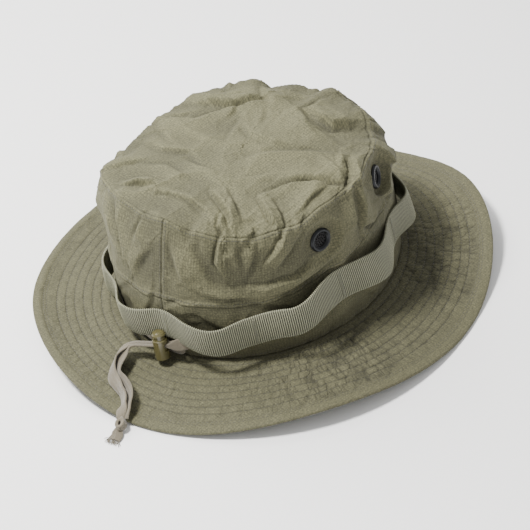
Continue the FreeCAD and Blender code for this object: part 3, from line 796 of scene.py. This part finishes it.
def band_surface(angle, share):
    """Lower band of the crown: share goes from the brim seam up to the lower crown seam."""
    top = round_the_hat(angle, LOWER_SEAM_HEIGHT)
    height = BASE_HEIGHT + 0.1 + share * (top - BASE_HEIGHT - 0.1)
    belly = round_the_hat(angle, BAND_BELLY) * np.sin(math.pi * share)
    level = between(angle, BASE, LOWER, share, belly)
    points, normals = upright(level, height, ring_normal(angle, LOWER), 0.0)
    to_top, to_foot = (1 - share) * (top - BASE_HEIGHT), share * (top - BASE_HEIGHT)
    move = rumple(points, normals) * smooth_step(0, 0.3, share) * 0.7
    move = move + seam_puckers(points, to_top) + seam_puckers(points, to_foot, 6.0)
    move = move + groove(to_top, 0.6) + groove(to_foot, 0.6) + upright_seam_relief(angle)
    return points + move[..., None] * normals, normals, move


def side_surface(angle, share):
    """Side panels: share goes from the lower crown seam up to the tip seam."""
    foot, top = (round_the_hat(angle, table) for table in (LOWER_SEAM_HEIGHT, TIP_SEAM_HEIGHT))
    height = foot + share * (top - foot)
    belly = round_the_hat(angle, SIDE_BELLY) * np.sin(math.pi * share ** 1.4)
    belly = belly + round_the_hat(angle, TIP_SPREAD) * share
    level = between(angle, LOWER, TIP, share, belly)
    tilt = 0.8 * smooth_step(0.72, 1.0, share)
    points, normals = upright(level, height, ring_normal(angle, TIP), tilt)
    plain = plain_wall(angle, LOWER_HEIGHT + share * (TIP_HEIGHT - LOWER_HEIGHT))
    to_top, to_foot = (1 - share) * (top - foot), share * (top - foot)
    move = rumple(points, normals) + seam_puckers(points, to_top, 6.0, 0.8)
    move = move + seam_puckers(points, to_foot) + upright_seam_relief(angle)
    move = move + groove(to_top, 0.6) + groove(to_foot, 0.6)
    move = move + strip(to_foot, 2.2, 1.6, 0.5) + strip(to_top, 2.4, 1.8, 0.6)
    slumped = points + move[..., None] * normals
    hold = near_vent(plain)[..., None]
    return slumped + hold * (plain - slumped), normals, move


def tip_surface(angle, reach):
    """Top panel: reach goes from 0 at the middle to 1 at the tip seam."""
    seam = round_the_hat(angle, TIP_SEAM_HEIGHT)
    height = TIP_RISE_HEIGHT + reach ** 2.6 * (seam - TIP_RISE_HEIGHT)
    middle, spread_out = np.array(TIP[2:]), round_the_hat(angle, TIP_SPREAD)[..., None]
    edge = ring_point(angle, TIP) + spread_out * ring_normal(angle, TIP)
    level = middle + reach[..., None] * (edge - middle)
    tilt = math.pi / 2 - (math.pi / 2 - 0.8) * smooth_step(0.86, 1.0, reach)
    points, normals = upright(level, height, ring_normal(angle, TIP), tilt)
    to_seam = (1 - reach) * 80
    move = rumple(points, normals) + seam_puckers(points, to_seam, 7.0, 0.9) + groove(to_seam, 0.6)
    return points + move[..., None] * normals, normals, move


def shade_from_relief(move):
    """Moves along the normal as painted shade, from 0 darkest deep in a fold to 1 painted lightest
    on its top.
    """
    return np.clip(0.55 + move / 4.2, 0, 1)


def vent_cells(angle, share):
    """Cells of a side panel that are cloth and not the hole under an eyelet."""
    middle_angle = (angle[:, 1:] + angle[:, :-1]) / 2
    middle_share = (share[1:] + share[:-1]) / 2
    height = LOWER_HEIGHT + middle_share * (TIP_HEIGHT - LOWER_HEIGHT)
    return from_vent(plain_wall(middle_angle, height)) > VENT_HOLE


def wall_panel(name, node, surface, ends, columns, rows, holes):
    """A band or side panel from one upright seam to the next."""
    angle = np.linspace(*ends, columns)[None, :]
    share = bunched(rows)[:, None]
    points, normals, move = surface(angle, share)
    uv = grid_pairs(MEAN_RADIUS * angle, SIDE_CLOTH * share)
    kept = vent_cells(angle, share) if holes else None
    piece = cloth_piece(name, points, points - CLOTH * normals, FINISHES["crown"], uv,
                        kept, relief=shade_from_relief(move))
    return place(piece, "cloth", node)


def crown():
    around = {"right": (BACK_SEAM, FRONT_SEAM), "left": (FRONT_SEAM, BACK_SEAM + 2 * math.pi)}
    for side, ends in around.items():
        wall_panel("band_" + side, "crown_band_" + side, band_surface, ends,
                   columns=340, rows=46, holes=False)
        wall_panel("side_" + side, "crown_side_" + side, side_surface, ends,
                   columns=430, rows=78, holes=True)
    angle = all_round(520)
    reach = 1 - (np.linspace(0, 1, 85) ** 1.25)[:, None]
    points, normals, move = tip_surface(angle, reach)
    piece = cloth_piece("top_panel", points, points - CLOTH * normals, FINISHES["crown"],
                        points[..., :2].copy(), closed=True, relief=shade_from_relief(move))
    place(piece, "cloth", "crown_top")


def crown_stitching():
    work = Threadwork()
    angle = BACK_SEAM + np.linspace(0, 2 * math.pi, 1500)
    for surface, share in ((side_surface, 0.955), (side_surface, 0.05), (band_surface, 0.06)):
        line, normals, _ = surface(angle, np.full_like(angle, share))
        work.row(line, normals)
    share = np.linspace(0.02, 0.98, 60)
    for seam in (BACK_SEAM, FRONT_SEAM):
        for offset in (-1.3, 2.4):
            column = np.full_like(share, seam + offset / SEAM_RADIUS)
            for surface in (band_surface, side_surface):
                line, normals, _ = surface(column, share)
                work.row(line, normals)
    place(work.piece("crown_stitching", FINISHES["dark thread"]), "thread")


# ---- brim ----

# how strongly the quilted brim puckers crosswise, and how its edge waves and curls
PUCKER = ((-180, 0.45), (-150, 0.5), (-120, 0.5), (-90, 0.45), (-65, 0.35), (-45, 0.7),
          (-28, 1.2), (-12, 1.2), (5, 0.6), (18, 0.5), (32, 1.1), (50, 1.1), (70, 0.5),
          (110, 0.5), (150, 0.6))
EDGE_CURL = ((-180, 1.0), (-150, 2.2), (-120, 3.0), (-100, 2.0), (-75, 0.5), (-40, 0.0),
             (10, 0.5), (60, 1.2), (110, 0.8), (150, 0.8))


def edge_height(angle):
    """Underside of the brim's edge: four low points on the floor, and four lifts between."""
    lift = (12.6 + 0.9 * np.cos(angle) + 3.7 * np.sin(angle) - 4.4 * np.cos(2 * angle)
            - 1.5 * np.sin(2 * angle))
    return lift * np.sin(2 * (angle - math.radians(17))) ** 2


def quilting(angle, outwards):
    """Stitch grooves, puffed cloth between them and crosswise puckers."""
    total = 0.16 * np.ones_like(outwards + 0 * angle)
    nearest = np.full_like(total, 99.0)
    for row in BRIM_ROWS:
        nearest = np.minimum(nearest, np.abs(outwards - row))
    drawn = 0.22 + 0.55 * noise_round(angle, 128, outwards / ROW_PITCH, 51.0)
    total = total - 0.6 * drawn * np.exp(-(nearest / 0.75) ** 2)
    wave = noise_round(angle, 128, outwards / (2 * ROW_PITCH), 3.3)
    slant = noise(angle * 64 / (2 * math.pi) + outwards / 13.0, outwards / 19.0, 17.7)
    folds = (1 - np.abs(2 * wave - 1)) ** 7 + 0.9 * (1 - np.abs(2 * slant - 1)) ** 9
    amount = round_the_hat(angle, PUCKER) * (1 - smooth_step(51, 56, outwards))
    amount = amount * smooth_step(2, 8, outwards)
    hem_puckers = 0.25 * (noise_round(angle, 256, outwards / 12.0, 41.0) - 0.5)
    return total - amount * (folds - 0.25) * 0.75 + hem_puckers * smooth_step(50, 54, outwards)


def brim_height(angle, outwards):
    """Height of the top of the brim."""
    share = np.clip(outwards, 0, None) / BRIM_WIDTH
    edge = edge_height(angle) + BRIM_THICKNESS
    height = BASE_HEIGHT + share * (edge - BASE_HEIGHT)
    curl = round_the_hat(angle, EDGE_CURL) * smooth_step(0.72, 1.0, share)
    # 16 steps in a turn don't close, which leaves a step of 0.5 mm at the back of the edge
    billow = 2.4 * (noise_round(angle, 16, share * 2.2, 5.5) - 0.5)
    height = height + curl + billow * smooth_step(0.1, 0.5, share)
    fold = 1.3 * np.exp(-((outwards - 57.0) / 1.3) ** 2) * round_the_hat(angle, EDGE_CURL) / 3
    return np.maximum(height + fold, BRIM_THICKNESS + 0.35)


def brim_layer(angle, outwards, depth, rumpled=1.0):
    """A layer of the brim, depth being 0 at the top and 1 at the underside."""
    level = ring_point(angle, BASE, outwards)
    into_edge = np.maximum(outwards - (BRIM_WIDTH - EDGE_ROUNDING), 0)
    rounded = np.sqrt(np.clip(1 - (into_edge / EDGE_ROUNDING) ** 2, 0.04, 1))
    relief = quilting(angle, outwards) * rumpled
    middle = brim_height(angle, outwards) - BRIM_THICKNESS / 2
    height = middle + (0.5 - depth) * BRIM_THICKNESS * rounded + relief
    floor = 0.1 + (1 - depth) * BRIM_THICKNESS * rounded
    height = np.maximum(height, floor)
    return raised(level, height), relief


def brim_rings():
    """Distances out from the seam, close together at the stitch rows, from edge to root."""
    rings = {-1.6, 0.0, 1.4, 3.0, 57.2, 58.8, 60.2, 60.9, 61.3, BRIM_WIDTH}
    for row in BRIM_ROWS:
        rings.update(round(row + step, 2) for step in (-0.8, 0.0, 0.8))
    for row in QUILT_ROWS:
        rings.update((round(row + 2.0, 2), round(row + 3.8, 2)))
    return np.array(sorted(rings, reverse=True))[:, None]


def brim():
    angle = all_round(840)
    rings = brim_rings()
    top, relief = brim_layer(angle, rings, 0.0)
    middle, _ = brim_layer(angle, rings, 0.5)
    under, _ = brim_layer(angle, rings, 1.0, 0.6)
    pucker = round_the_hat(angle, PUCKER) * (1 - smooth_step(50, 54, rings))
    # relief holds the quilting's height, which the finish paints as shade in its grooves and as
    # light on the puffed cloth between them
    measures = {"relief": np.clip(0.55 + relief / 2.6, 0, 1), "outwards": rings + 0 * angle,
                "pucker": pucker * smooth_step(1, 5, rings)}
    upper = cloth_piece("brim_top", top, middle, FINISHES["brim"], top[..., :2].copy(),
                        closed=True, **measures)
    lower = cloth_piece("brim_under", middle, under, FINISHES["brim"], under[..., :2].copy(),
                        closed=True, **measures)
    place(upper, "cloth", "brim_upper_ply")
    place(lower, "cloth", "brim_lower_ply", "brim_interlining")


def brim_stitching():
    angle = BACK_SEAM + np.linspace(0, 2 * math.pi, 2400)
    for name, depth, rumpled, facing in (("brim_stitching_top", 0.0, 1.0, 1.0),
                                         ("brim_stitching_under", 1.0, 0.6, -1.0)):
        work = Threadwork()
        for row in BRIM_ROWS + (SEAM_ROW,):
            line, _ = brim_layer(angle, np.full_like(angle, row), depth, rumpled)
            up = np.tile([0.0, 0.0, facing], (len(angle), 1))
            work.row(line, up, pitch=2.9, length=2.2, thickness=0.4)
        place(work.piece(name, FINISHES["dark thread"]), "thread")


# ---- camera and light ----

def aim_camera():
    """The camera looks down on the back right of the hat, turned a little on its axis."""
    azimuth, elevation, roll = (math.radians(angle) for angle in (43.5, 38.5, -1.7))
    back = Vector((math.sin(azimuth) * math.cos(elevation),
                   -math.cos(azimuth) * math.cos(elevation), math.sin(elevation)))
    right = Vector((math.cos(azimuth), math.sin(azimuth), 0))
    up = back.cross(right)
    level_right = right * math.cos(roll) + up * math.sin(roll)
    level_up = back.cross(level_right)
    middle = Vector((0, 0, 32.4)) * MM
    aim = middle - level_up * 16.9 * MM
    distance = 1.3
    place_of_camera = middle + back * distance
    behind = (place_of_camera - aim).normalized()
    sideways = level_up.cross(behind).normalized()
    turn = Matrix((sideways, behind.cross(sideways), behind)).transposed()
    data = bpy.data.cameras.new("camera")
    data.lens, data.sensor_width = 134.8, 36
    data.clip_start, data.clip_end = 0.05, 20
    camera = bpy.data.objects.new("camera", data)
    camera.matrix_world = Matrix.Translation(place_of_camera) @ turn.to_4x4()
    bpy.context.scene.collection.objects.link(camera)
    bpy.context.scene.camera = camera


def lamp(name, position, size, power):
    data = bpy.data.lights.new(name, "AREA")
    data.shape, data.size, data.energy = "DISK", size, power
    data.color = (1.0, 0.985, 0.96)
    light = bpy.data.objects.new(name, data)
    light.location = position
    light.rotation_mode = "QUATERNION"
    light.rotation_quaternion = Vector(position).to_track_quat("Z", "Y")
    bpy.context.scene.collection.objects.link(light)


def studio():
    bpy.ops.mesh.primitive_plane_add(size=8, location=(0, 0, 0))
    floor = bpy.context.object
    floor.name = "floor"
    make = Finish("floor_paper", Roughness=0.9)
    grain = make.noise(400.0, 4.0)
    body = make.blend(grain, grey(0.86), grey(0.90))
    make.set(make.shader, {"Base Color": body, "Normal": make.bump(grain, 0.05, 0.2)})
    floor.data.materials.append(make.material)
    world = bpy.data.worlds.new("studio")
    world.use_nodes = True
    sky = world.node_tree.nodes["Background"].inputs
    sky["Color"].default_value, sky["Strength"].default_value = grey(1.0), 0.84
    bpy.context.scene.world = world
    lamp("key", (-0.3, -0.5, 1.15), 0.25, 38)
    lamp("fill", (-0.9, 0.1, 0.9), 0.8, 14)


# ---- foliage webbing ----

# height of the webbing's lower edge, and how far each loop's two edges stand off the wall
WEBBING_HEIGHT = ((-180, 20), (-160, 18), (-135, 15), (-107, 19), (-94, 23), (-79, 27),
                  (-67, 26), (-55, 24), (-45, 25), (-30, 30), (-14, 36), (4, 36), (20, 34),
                  (36, 36), (55, 33), (70, 34), (90, 30), (110, 29), (130, 25), (150, 24))
LOOP_DEPTHS = ((8.0, 9.5), (6.5, 8.0), (9.0, 6.0), (8.5, 7.0), (6.0, 8.0), (7.5, 7.0),
               (8.0, 6.5), (8.5, 6.5), (9.0, 5.5), (7.0, 8.0))
TACK_STAND_OFF = 2.4


def webbing_stand_off(angle, edge):
    """Distance from the wall: a loop between tacks, edge being 0 at the foot and 1 on top."""
    degrees = (np.degrees(angle) - TACK_ANGLES[0]) % 360
    loop = np.floor(degrees / LOOP_SPAN).astype(int) % LOOPS
    foot, top = (np.array([depths[end] for depths in LOOP_DEPTHS])[loop] for end in (0, 1))
    swing = np.sin(np.radians(degrees * 180 / LOOP_SPAN)) ** 2
    return TACK_STAND_OFF + swing * (foot + edge * (top - foot))


def webbing_surface(angle, edge, lifted=0.0):
    """The middle of the webbing, edge going from 0 at its foot to 1 at its top."""
    foot = round_the_hat(angle, WEBBING_HEIGHT)
    height = foot + edge * (WEBBING_WIDTH - 0.4)
    share = (height - BASE_HEIGHT) / (LOWER_HEIGHT - BASE_HEIGHT)
    belly = np.maximum(round_the_hat(angle, BAND_BELLY), 0) * np.sin(math.pi * share)
    out = webbing_stand_off(angle, edge) + belly + lifted
    level = between(angle, BASE, LOWER, share, out)
    return raised(level, height)


def surface_normals(points):
    """Normals of a grid whose rows run up and columns counter-clockwise."""
    along = np.gradient(points, axis=1)
    up = np.gradient(points, axis=0)
    return unit(np.cross(along, up))


def webbing():
    angle = all_round(2400)
    edge = np.array([0, 0.02, 0.05, 0.12, 0.25, 0.4, 0.55, 0.7, 0.83, 0.93, 0.97, 1.0])[:, None]
    middle = webbing_surface(angle, edge)
    normals = surface_normals(middle)
    travelled = distances_along(np.concatenate([middle[6], middle[6][:1]]))
    ribs = round(travelled[-1] / RIB_PITCH)
    along = travelled[:-1] / travelled[-1] * ribs * RIB_PITCH
    rib = np.sin(math.pi * along / RIB_PITCH) ** 2
    from_middle = edge - 0.5
    outermost = np.sign(from_middle) * (np.abs(from_middle) > 0.45)
    scallop = 0.22 * (rib[None, :, None] - 0.5) * np.array([0, 0, 1.0])
    middle = middle + scallop * outermost[..., None]
    plump = np.where(np.abs(from_middle) > 0.46, 0.35, 0.5) + 0.3 * rib[None, :]
    uv = grid_pairs(along[None, :], edge * WEBBING_WIDTH)
    outer = middle + plump[..., None] * normals
    inner = middle - plump[..., None] * normals
    piece = cloth_piece("webbing", outer, inner, FINISHES["webbing"], uv, closed=True)
    place(piece, "webbing", "foliage_webbing")


def bartacks():
    """Close zigzag stitching that holds the webbing down between its loops."""
    work = Threadwork()
    edge = np.linspace(0.1, 0.9, 34)
    for tack in TACK_ANGLES:
        angle = np.full_like(edge, math.radians(tack)) + RNG.normal(0, 0.0006, len(edge))
        centres = webbing_surface(angle, edge, 0.75)
        beside = webbing_surface(angle + 0.01, edge, 0.75)
        along = unit(beside - centres)
        slope = np.where(np.arange(len(edge)) % 2, 0.25, -0.25)[:, None]
        along = along + slope * np.array([0, 0, 1.0])
        out = np.cross(along, np.array([0, 0, 1.0]))
        work.add(centres, along, out, 2.4, 0.5)
    place(work.piece("bartacks", FINISHES["thread"]), "thread", "foliage_bartacks")


# ---- sweatband ----

def sweatband():
    angle = all_round(480)
    share = bunched(22)[:, None]
    height = BASE_HEIGHT + 0.4 + share * SWEATBAND_WIDTH + 0 * angle
    wall = (height - BASE_HEIGHT) / (LOWER_HEIGHT - BASE_HEIGHT)
    loose = 0.7 * (noise_round(angle, 64, share * 2, 8.8) - 0.4) * share
    level = between(angle, BASE, LOWER, wall, -SWEATBAND_INSET - loose)
    points = raised(level, height)
    uv = grid_pairs(MEAN_RADIUS * angle, SWEATBAND_WIDTH * share)
    normals = surface_normals(points)
    piece = cloth_piece("inner_band", points, points - normals, FINISHES["sweatband"], uv,
                        closed=True, relief=np.full(points.shape[:2], 0.5))
    place(piece, "sweatband_tape", "sweatband")


# ---- chin tape ----

# the routes of part.py, in metres, moved to follow the hat more closely: the loop lies behind
# the webbing, and the ends run straight as far as the lock slides, then fold over and lie
# twisted on the brim
LOOP_ROUTE = (
    (0.01415, -0.11284, 0.02318), (0.0225, -0.1085, 0.0238), (0.032, -0.098, 0.0285),
    (0.046, -0.087, 0.031), (0.062, -0.067, 0.033), (0.075, -0.0355, 0.036),
    (0.0785, 0.002, 0.037), (0.0715, 0.041, 0.036), (0.0545, 0.072, 0.035),
    (0.0325, 0.092, 0.034), (0.0095, 0.1005, 0.033), (-0.013, 0.101, 0.032),
    (-0.0365, 0.092, 0.031), (-0.058, 0.0725, 0.029), (-0.0755, 0.040, 0.027),
    (-0.0825, -0.002, 0.026), (-0.0765, -0.041, 0.025), (-0.0595, -0.074, 0.0225),
    (-0.0395, -0.0935, 0.0225), (-0.021, -0.103, 0.022), (-0.004, -0.106, 0.0205),
    (0.0095, -0.105, 0.018), (0.019, -0.1035, 0.018), (0.0238, -0.1045, 0.0205),
    (0.0208, -0.107, 0.0238), (0.01285, -0.11016, 0.02282),
)
TAIL_ROUTES = {
    "outer": ((0.01415, -0.11284, 0.02318), (0.00494, -0.11755, 0.0214),
              (-0.00427, -0.12227, 0.0196), (-0.0015, -0.1335, 0.0160),
              (0.0045, -0.1425, 0.0126), (0.0145, -0.1435, 0.0124), (0.0235, -0.1485, 0.0110),
              (0.0275, -0.1575, 0.0084), (0.0310, -0.1613, 0.0054)),
    "inner": ((0.01285, -0.11016, 0.02282), (0.00364, -0.11487, 0.0210),
              (-0.00557, -0.1196, 0.0193), (-0.0065, -0.1315, 0.0160),
              (0.0005, -0.1435, 0.0124), (0.012, -0.1475, 0.0116), (0.0215, -0.1515, 0.0104),
              (0.0255, -0.1585, 0.0080), (0.0286, -0.1629, 0.0053)),
}


def smooth_line(name, route):
    """Points in metres read from the NURBS line that has a route as its control points."""
    data = bpy.data.curves.new(name + "_line", "CURVE")
    data.dimensions, data.resolution_u = "3D", 16
    spline = data.splines.new("NURBS")
    spline.points.add(len(route) - 1)
    for point, place_of_point in zip(spline.points, route):
        point.co = (*place_of_point, 1)
    spline.order_u, spline.use_endpoint_u = 3, True
    holder = bpy.data.objects.new(name + "_line", data)
    bpy.context.scene.collection.objects.link(holder)
    bpy.context.view_layer.update()
    graph = bpy.context.evaluated_depsgraph_get()
    mesh = bpy.data.meshes.new_from_object(holder.evaluated_get(graph))
    points = np.array([vertex.co for vertex in mesh.vertices])
    bpy.data.objects.remove(holder)
    bpy.data.curves.remove(data)
    bpy.data.meshes.remove(mesh)
    return points


def tape_mesh(name, line, facing, width, thickness):
    """A flat tape along a line in millimetres. Its facing and width vary along it."""
    along = unit(np.gradient(line, axis=0))
    side = unit(np.cross(facing, along))
    up = np.cross(along, side)
    # round the tape: how far across it is, and how far up, as parts of its half sizes
    section = ((-1, 0), (-0.97, 0.7), (-0.8, 1), (-0.4, 0.85), (0, 1), (0.4, 0.85), (0.8, 1),
               (0.97, 0.7), (1, 0), (0.97, -0.7), (0.8, -1), (0.4, -0.85), (0, -1),
               (-0.4, -0.85), (-0.8, -1), (-0.97, -0.7))
    across = np.array([corner[0] for corner in section])
    level = np.array([corner[1] for corner in section])
    points = (line[:, None] + (width / 2)[:, None, None] * across[:, None] * side[:, None]
              + thickness / 2 * level[:, None] * up[:, None])
    count, around = points.shape[:2]
    travelled = distances_along(line)
    uv = grid_pairs(travelled[:, None], (across + 1) * TAPE_WIDTH / 2)
    faces = [tuple(reversed(face)) for face in tube_faces(count, around)]
    return mesh_piece(name, points.reshape(-1, 3), faces, FINISHES["tape"], uv.reshape(-1, 2))


def twist(along, facing, degrees):
    """Turns facing directions about the tape's own direction."""
    angle = np.radians(degrees)[:, None]
    return facing * np.cos(angle) + np.cross(along, facing) * np.sin(angle)


def chin_tapes():
    loop = smooth_line("chin_loop", LOOP_ROUTE)
    share = np.linspace(0, 1, len(loop))
    level_out = unit(loop * np.array([1.0, 1.0, 0.0]))
    along = unit(np.gradient(loop, axis=0))
    sway = 6 * np.sin(share * 23)
    facing = twist(along, level_out + np.array([0, 0, 0.1]), sway)
    from_lock = np.minimum(share, 1 - share)
    width = TAPE_WIDTH * (PINCHED + (1 - PINCHED) * smooth_step(0.009, 0.03, from_lock))
    piece = tape_mesh("chin_loop", loop / MM, facing, width, 0.8)
    place(piece, "chin_tape", "chin_tape_loop")
    return {word: chin_tail(word, route) for word, route in TAIL_ROUTES.items()}


# turns of the tape about its own line, in (part of its length, degrees) pairs
TAIL_TWIST = {"outer": ((0, 0), (0.22, 0), (0.35, 20), (0.5, 60), (0.65, 65), (0.8, 50), (1, 20)),
              "inner": ((0, 0), (0.22, 0), (0.38, 60), (0.55, 45), (0.7, 75), (0.85, 55),
                        (1, -10))}


def chin_tail(word, route):
    line = smooth_line("chin_tail_" + word, route)
    travelled = distances_along(line) / MM
    share = np.linspace(0, 1, len(line))
    along = unit(np.gradient(line, axis=0))
    places, turns = zip(*TAIL_TWIST[word])
    facing = twist(along, np.tile([-0.2, 0.03, 0.97], (len(line), 1)),
                   np.interp(share, places, turns))
    open_out = smooth_step(PINCHED_RUN, OPEN_RUN, share * travelled[-1])
    open_out = open_out * (1 - 0.6 * smooth_step(0.9, 1.0, share))
    width = TAPE_WIDTH * (PINCHED + (1 - PINCHED) * open_out)
    piece = tape_mesh("chin_tail_" + word, line / MM, facing, width, 1.1)
    place(piece, "chin_tape", "chin_tape_tail_" + word)
    return piece, line, route


# the overhand knot and the two frayed ends past it, in millimetres
KNOT_ROUTE = ((29.5, -161.8, 5.2), (33.4, -163.6, 6.0), (34.6, -167.2, 4.6), (31.2, -168.6, 3.4),
              (28.6, -165.4, 4.8), (30.6, -162.4, 6.2), (34.2, -165.4, 4.6), (32.8, -168.8, 2.8))
END_ROUTES = (((31.8, -166.5, 3.6), (33.6, -169.2, 2.2), (36.0, -171.4, 1.6), (36.8, -174.6, 1.0)),
              ((31.0, -166.5, 3.2), (31.4, -169.6, 1.8), (33.2, -172.2, 1.2), (33.2, -175.6, 0.9)))


def smooth_knot_line(route):
    """Points in millimetres along a smooth line through the knot."""
    return smooth_line("knot", [tuple(c * MM for c in point) for point in route]) / MM


def chin_knot():
    """The knot that keeps the lock on the tape, and the frayed ends beyond it."""
    parts = []
    line = smooth_knot_line(KNOT_ROUTE)
    facing = unit(line - np.array([31.5, -165.6, 4.4]))
    parts.append(tape_mesh("chin_knot", line, facing, np.full(len(line), 4.6), 2.2))
    for index, route in enumerate(END_ROUTES):
        line = smooth_knot_line(route)
        width = np.interp(np.linspace(0, 1, len(line)), (0, 0.4, 1), (3.0, 5.0, 4.4))
        up = np.tile([0.15 - 0.3 * index, 0.1, 1.0], (len(line), 1))
        parts.append(tape_mesh("tape_end_%d" % index, line, up, width, 0.9))
        parts.append(frayed_threads("fray_%d" % index, line[-1], unit(line[-1] - line[-3])))
    with bpy.context.temp_override(active_object=parts[0], selected_editable_objects=parts):
        bpy.ops.object.join()
    return place(parts[0], "chin_tape", "chin_tape_knot")


def frayed_threads(name, end, direction):
    work = Threadwork()
    count = 16
    side = unit(np.cross(direction, [0.0, 0.0, 1.0]))
    starts = end + np.linspace(-2.1, 2.1, count)[:, None] * side
    lean = direction + RNG.normal(0, 0.28, (count, 3)) * np.array([1, 1, 0.25])
    lengths = RNG.uniform(2.2, 4.6, count)
    for start, way, length in zip(starts, unit(lean), lengths):
        centre = start + way * length / 2
        centre[2] = max(centre[2], 0.45)
        work.add(centre[None], way[None] * np.array([1, 1, 0.3]), np.array([[0.0, 0.0, 1.0]]),
                 length, 0.34)
    return work.piece(name, FINISHES["tape"])


# ---- hardware ----

def dress(node, finish):
    """A CAD node that keeps its own mesh, with a better finish."""
    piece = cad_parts[node]
    piece.data.materials.clear()
    piece.data.materials.append(FINISHES[finish])


def hardware():
    for word in VENTS:
        for part, finish in (("eyelet", "eyelet"), ("washer", "eyelet"), ("screen", "screen")):
            dress("vent_%s_%s" % (word, part), finish)
    dress("cord_lock_barrel", "lock")
    dress("cord_lock_plunger", "lock")
    dress("cord_lock_spring", "spring")


aim_camera()
studio()
tails = chin_tapes()
chin_knot()
hardware()
crown()
crown_stitching()
brim()
brim_stitching()
webbing()
bartacks()
sweatband()
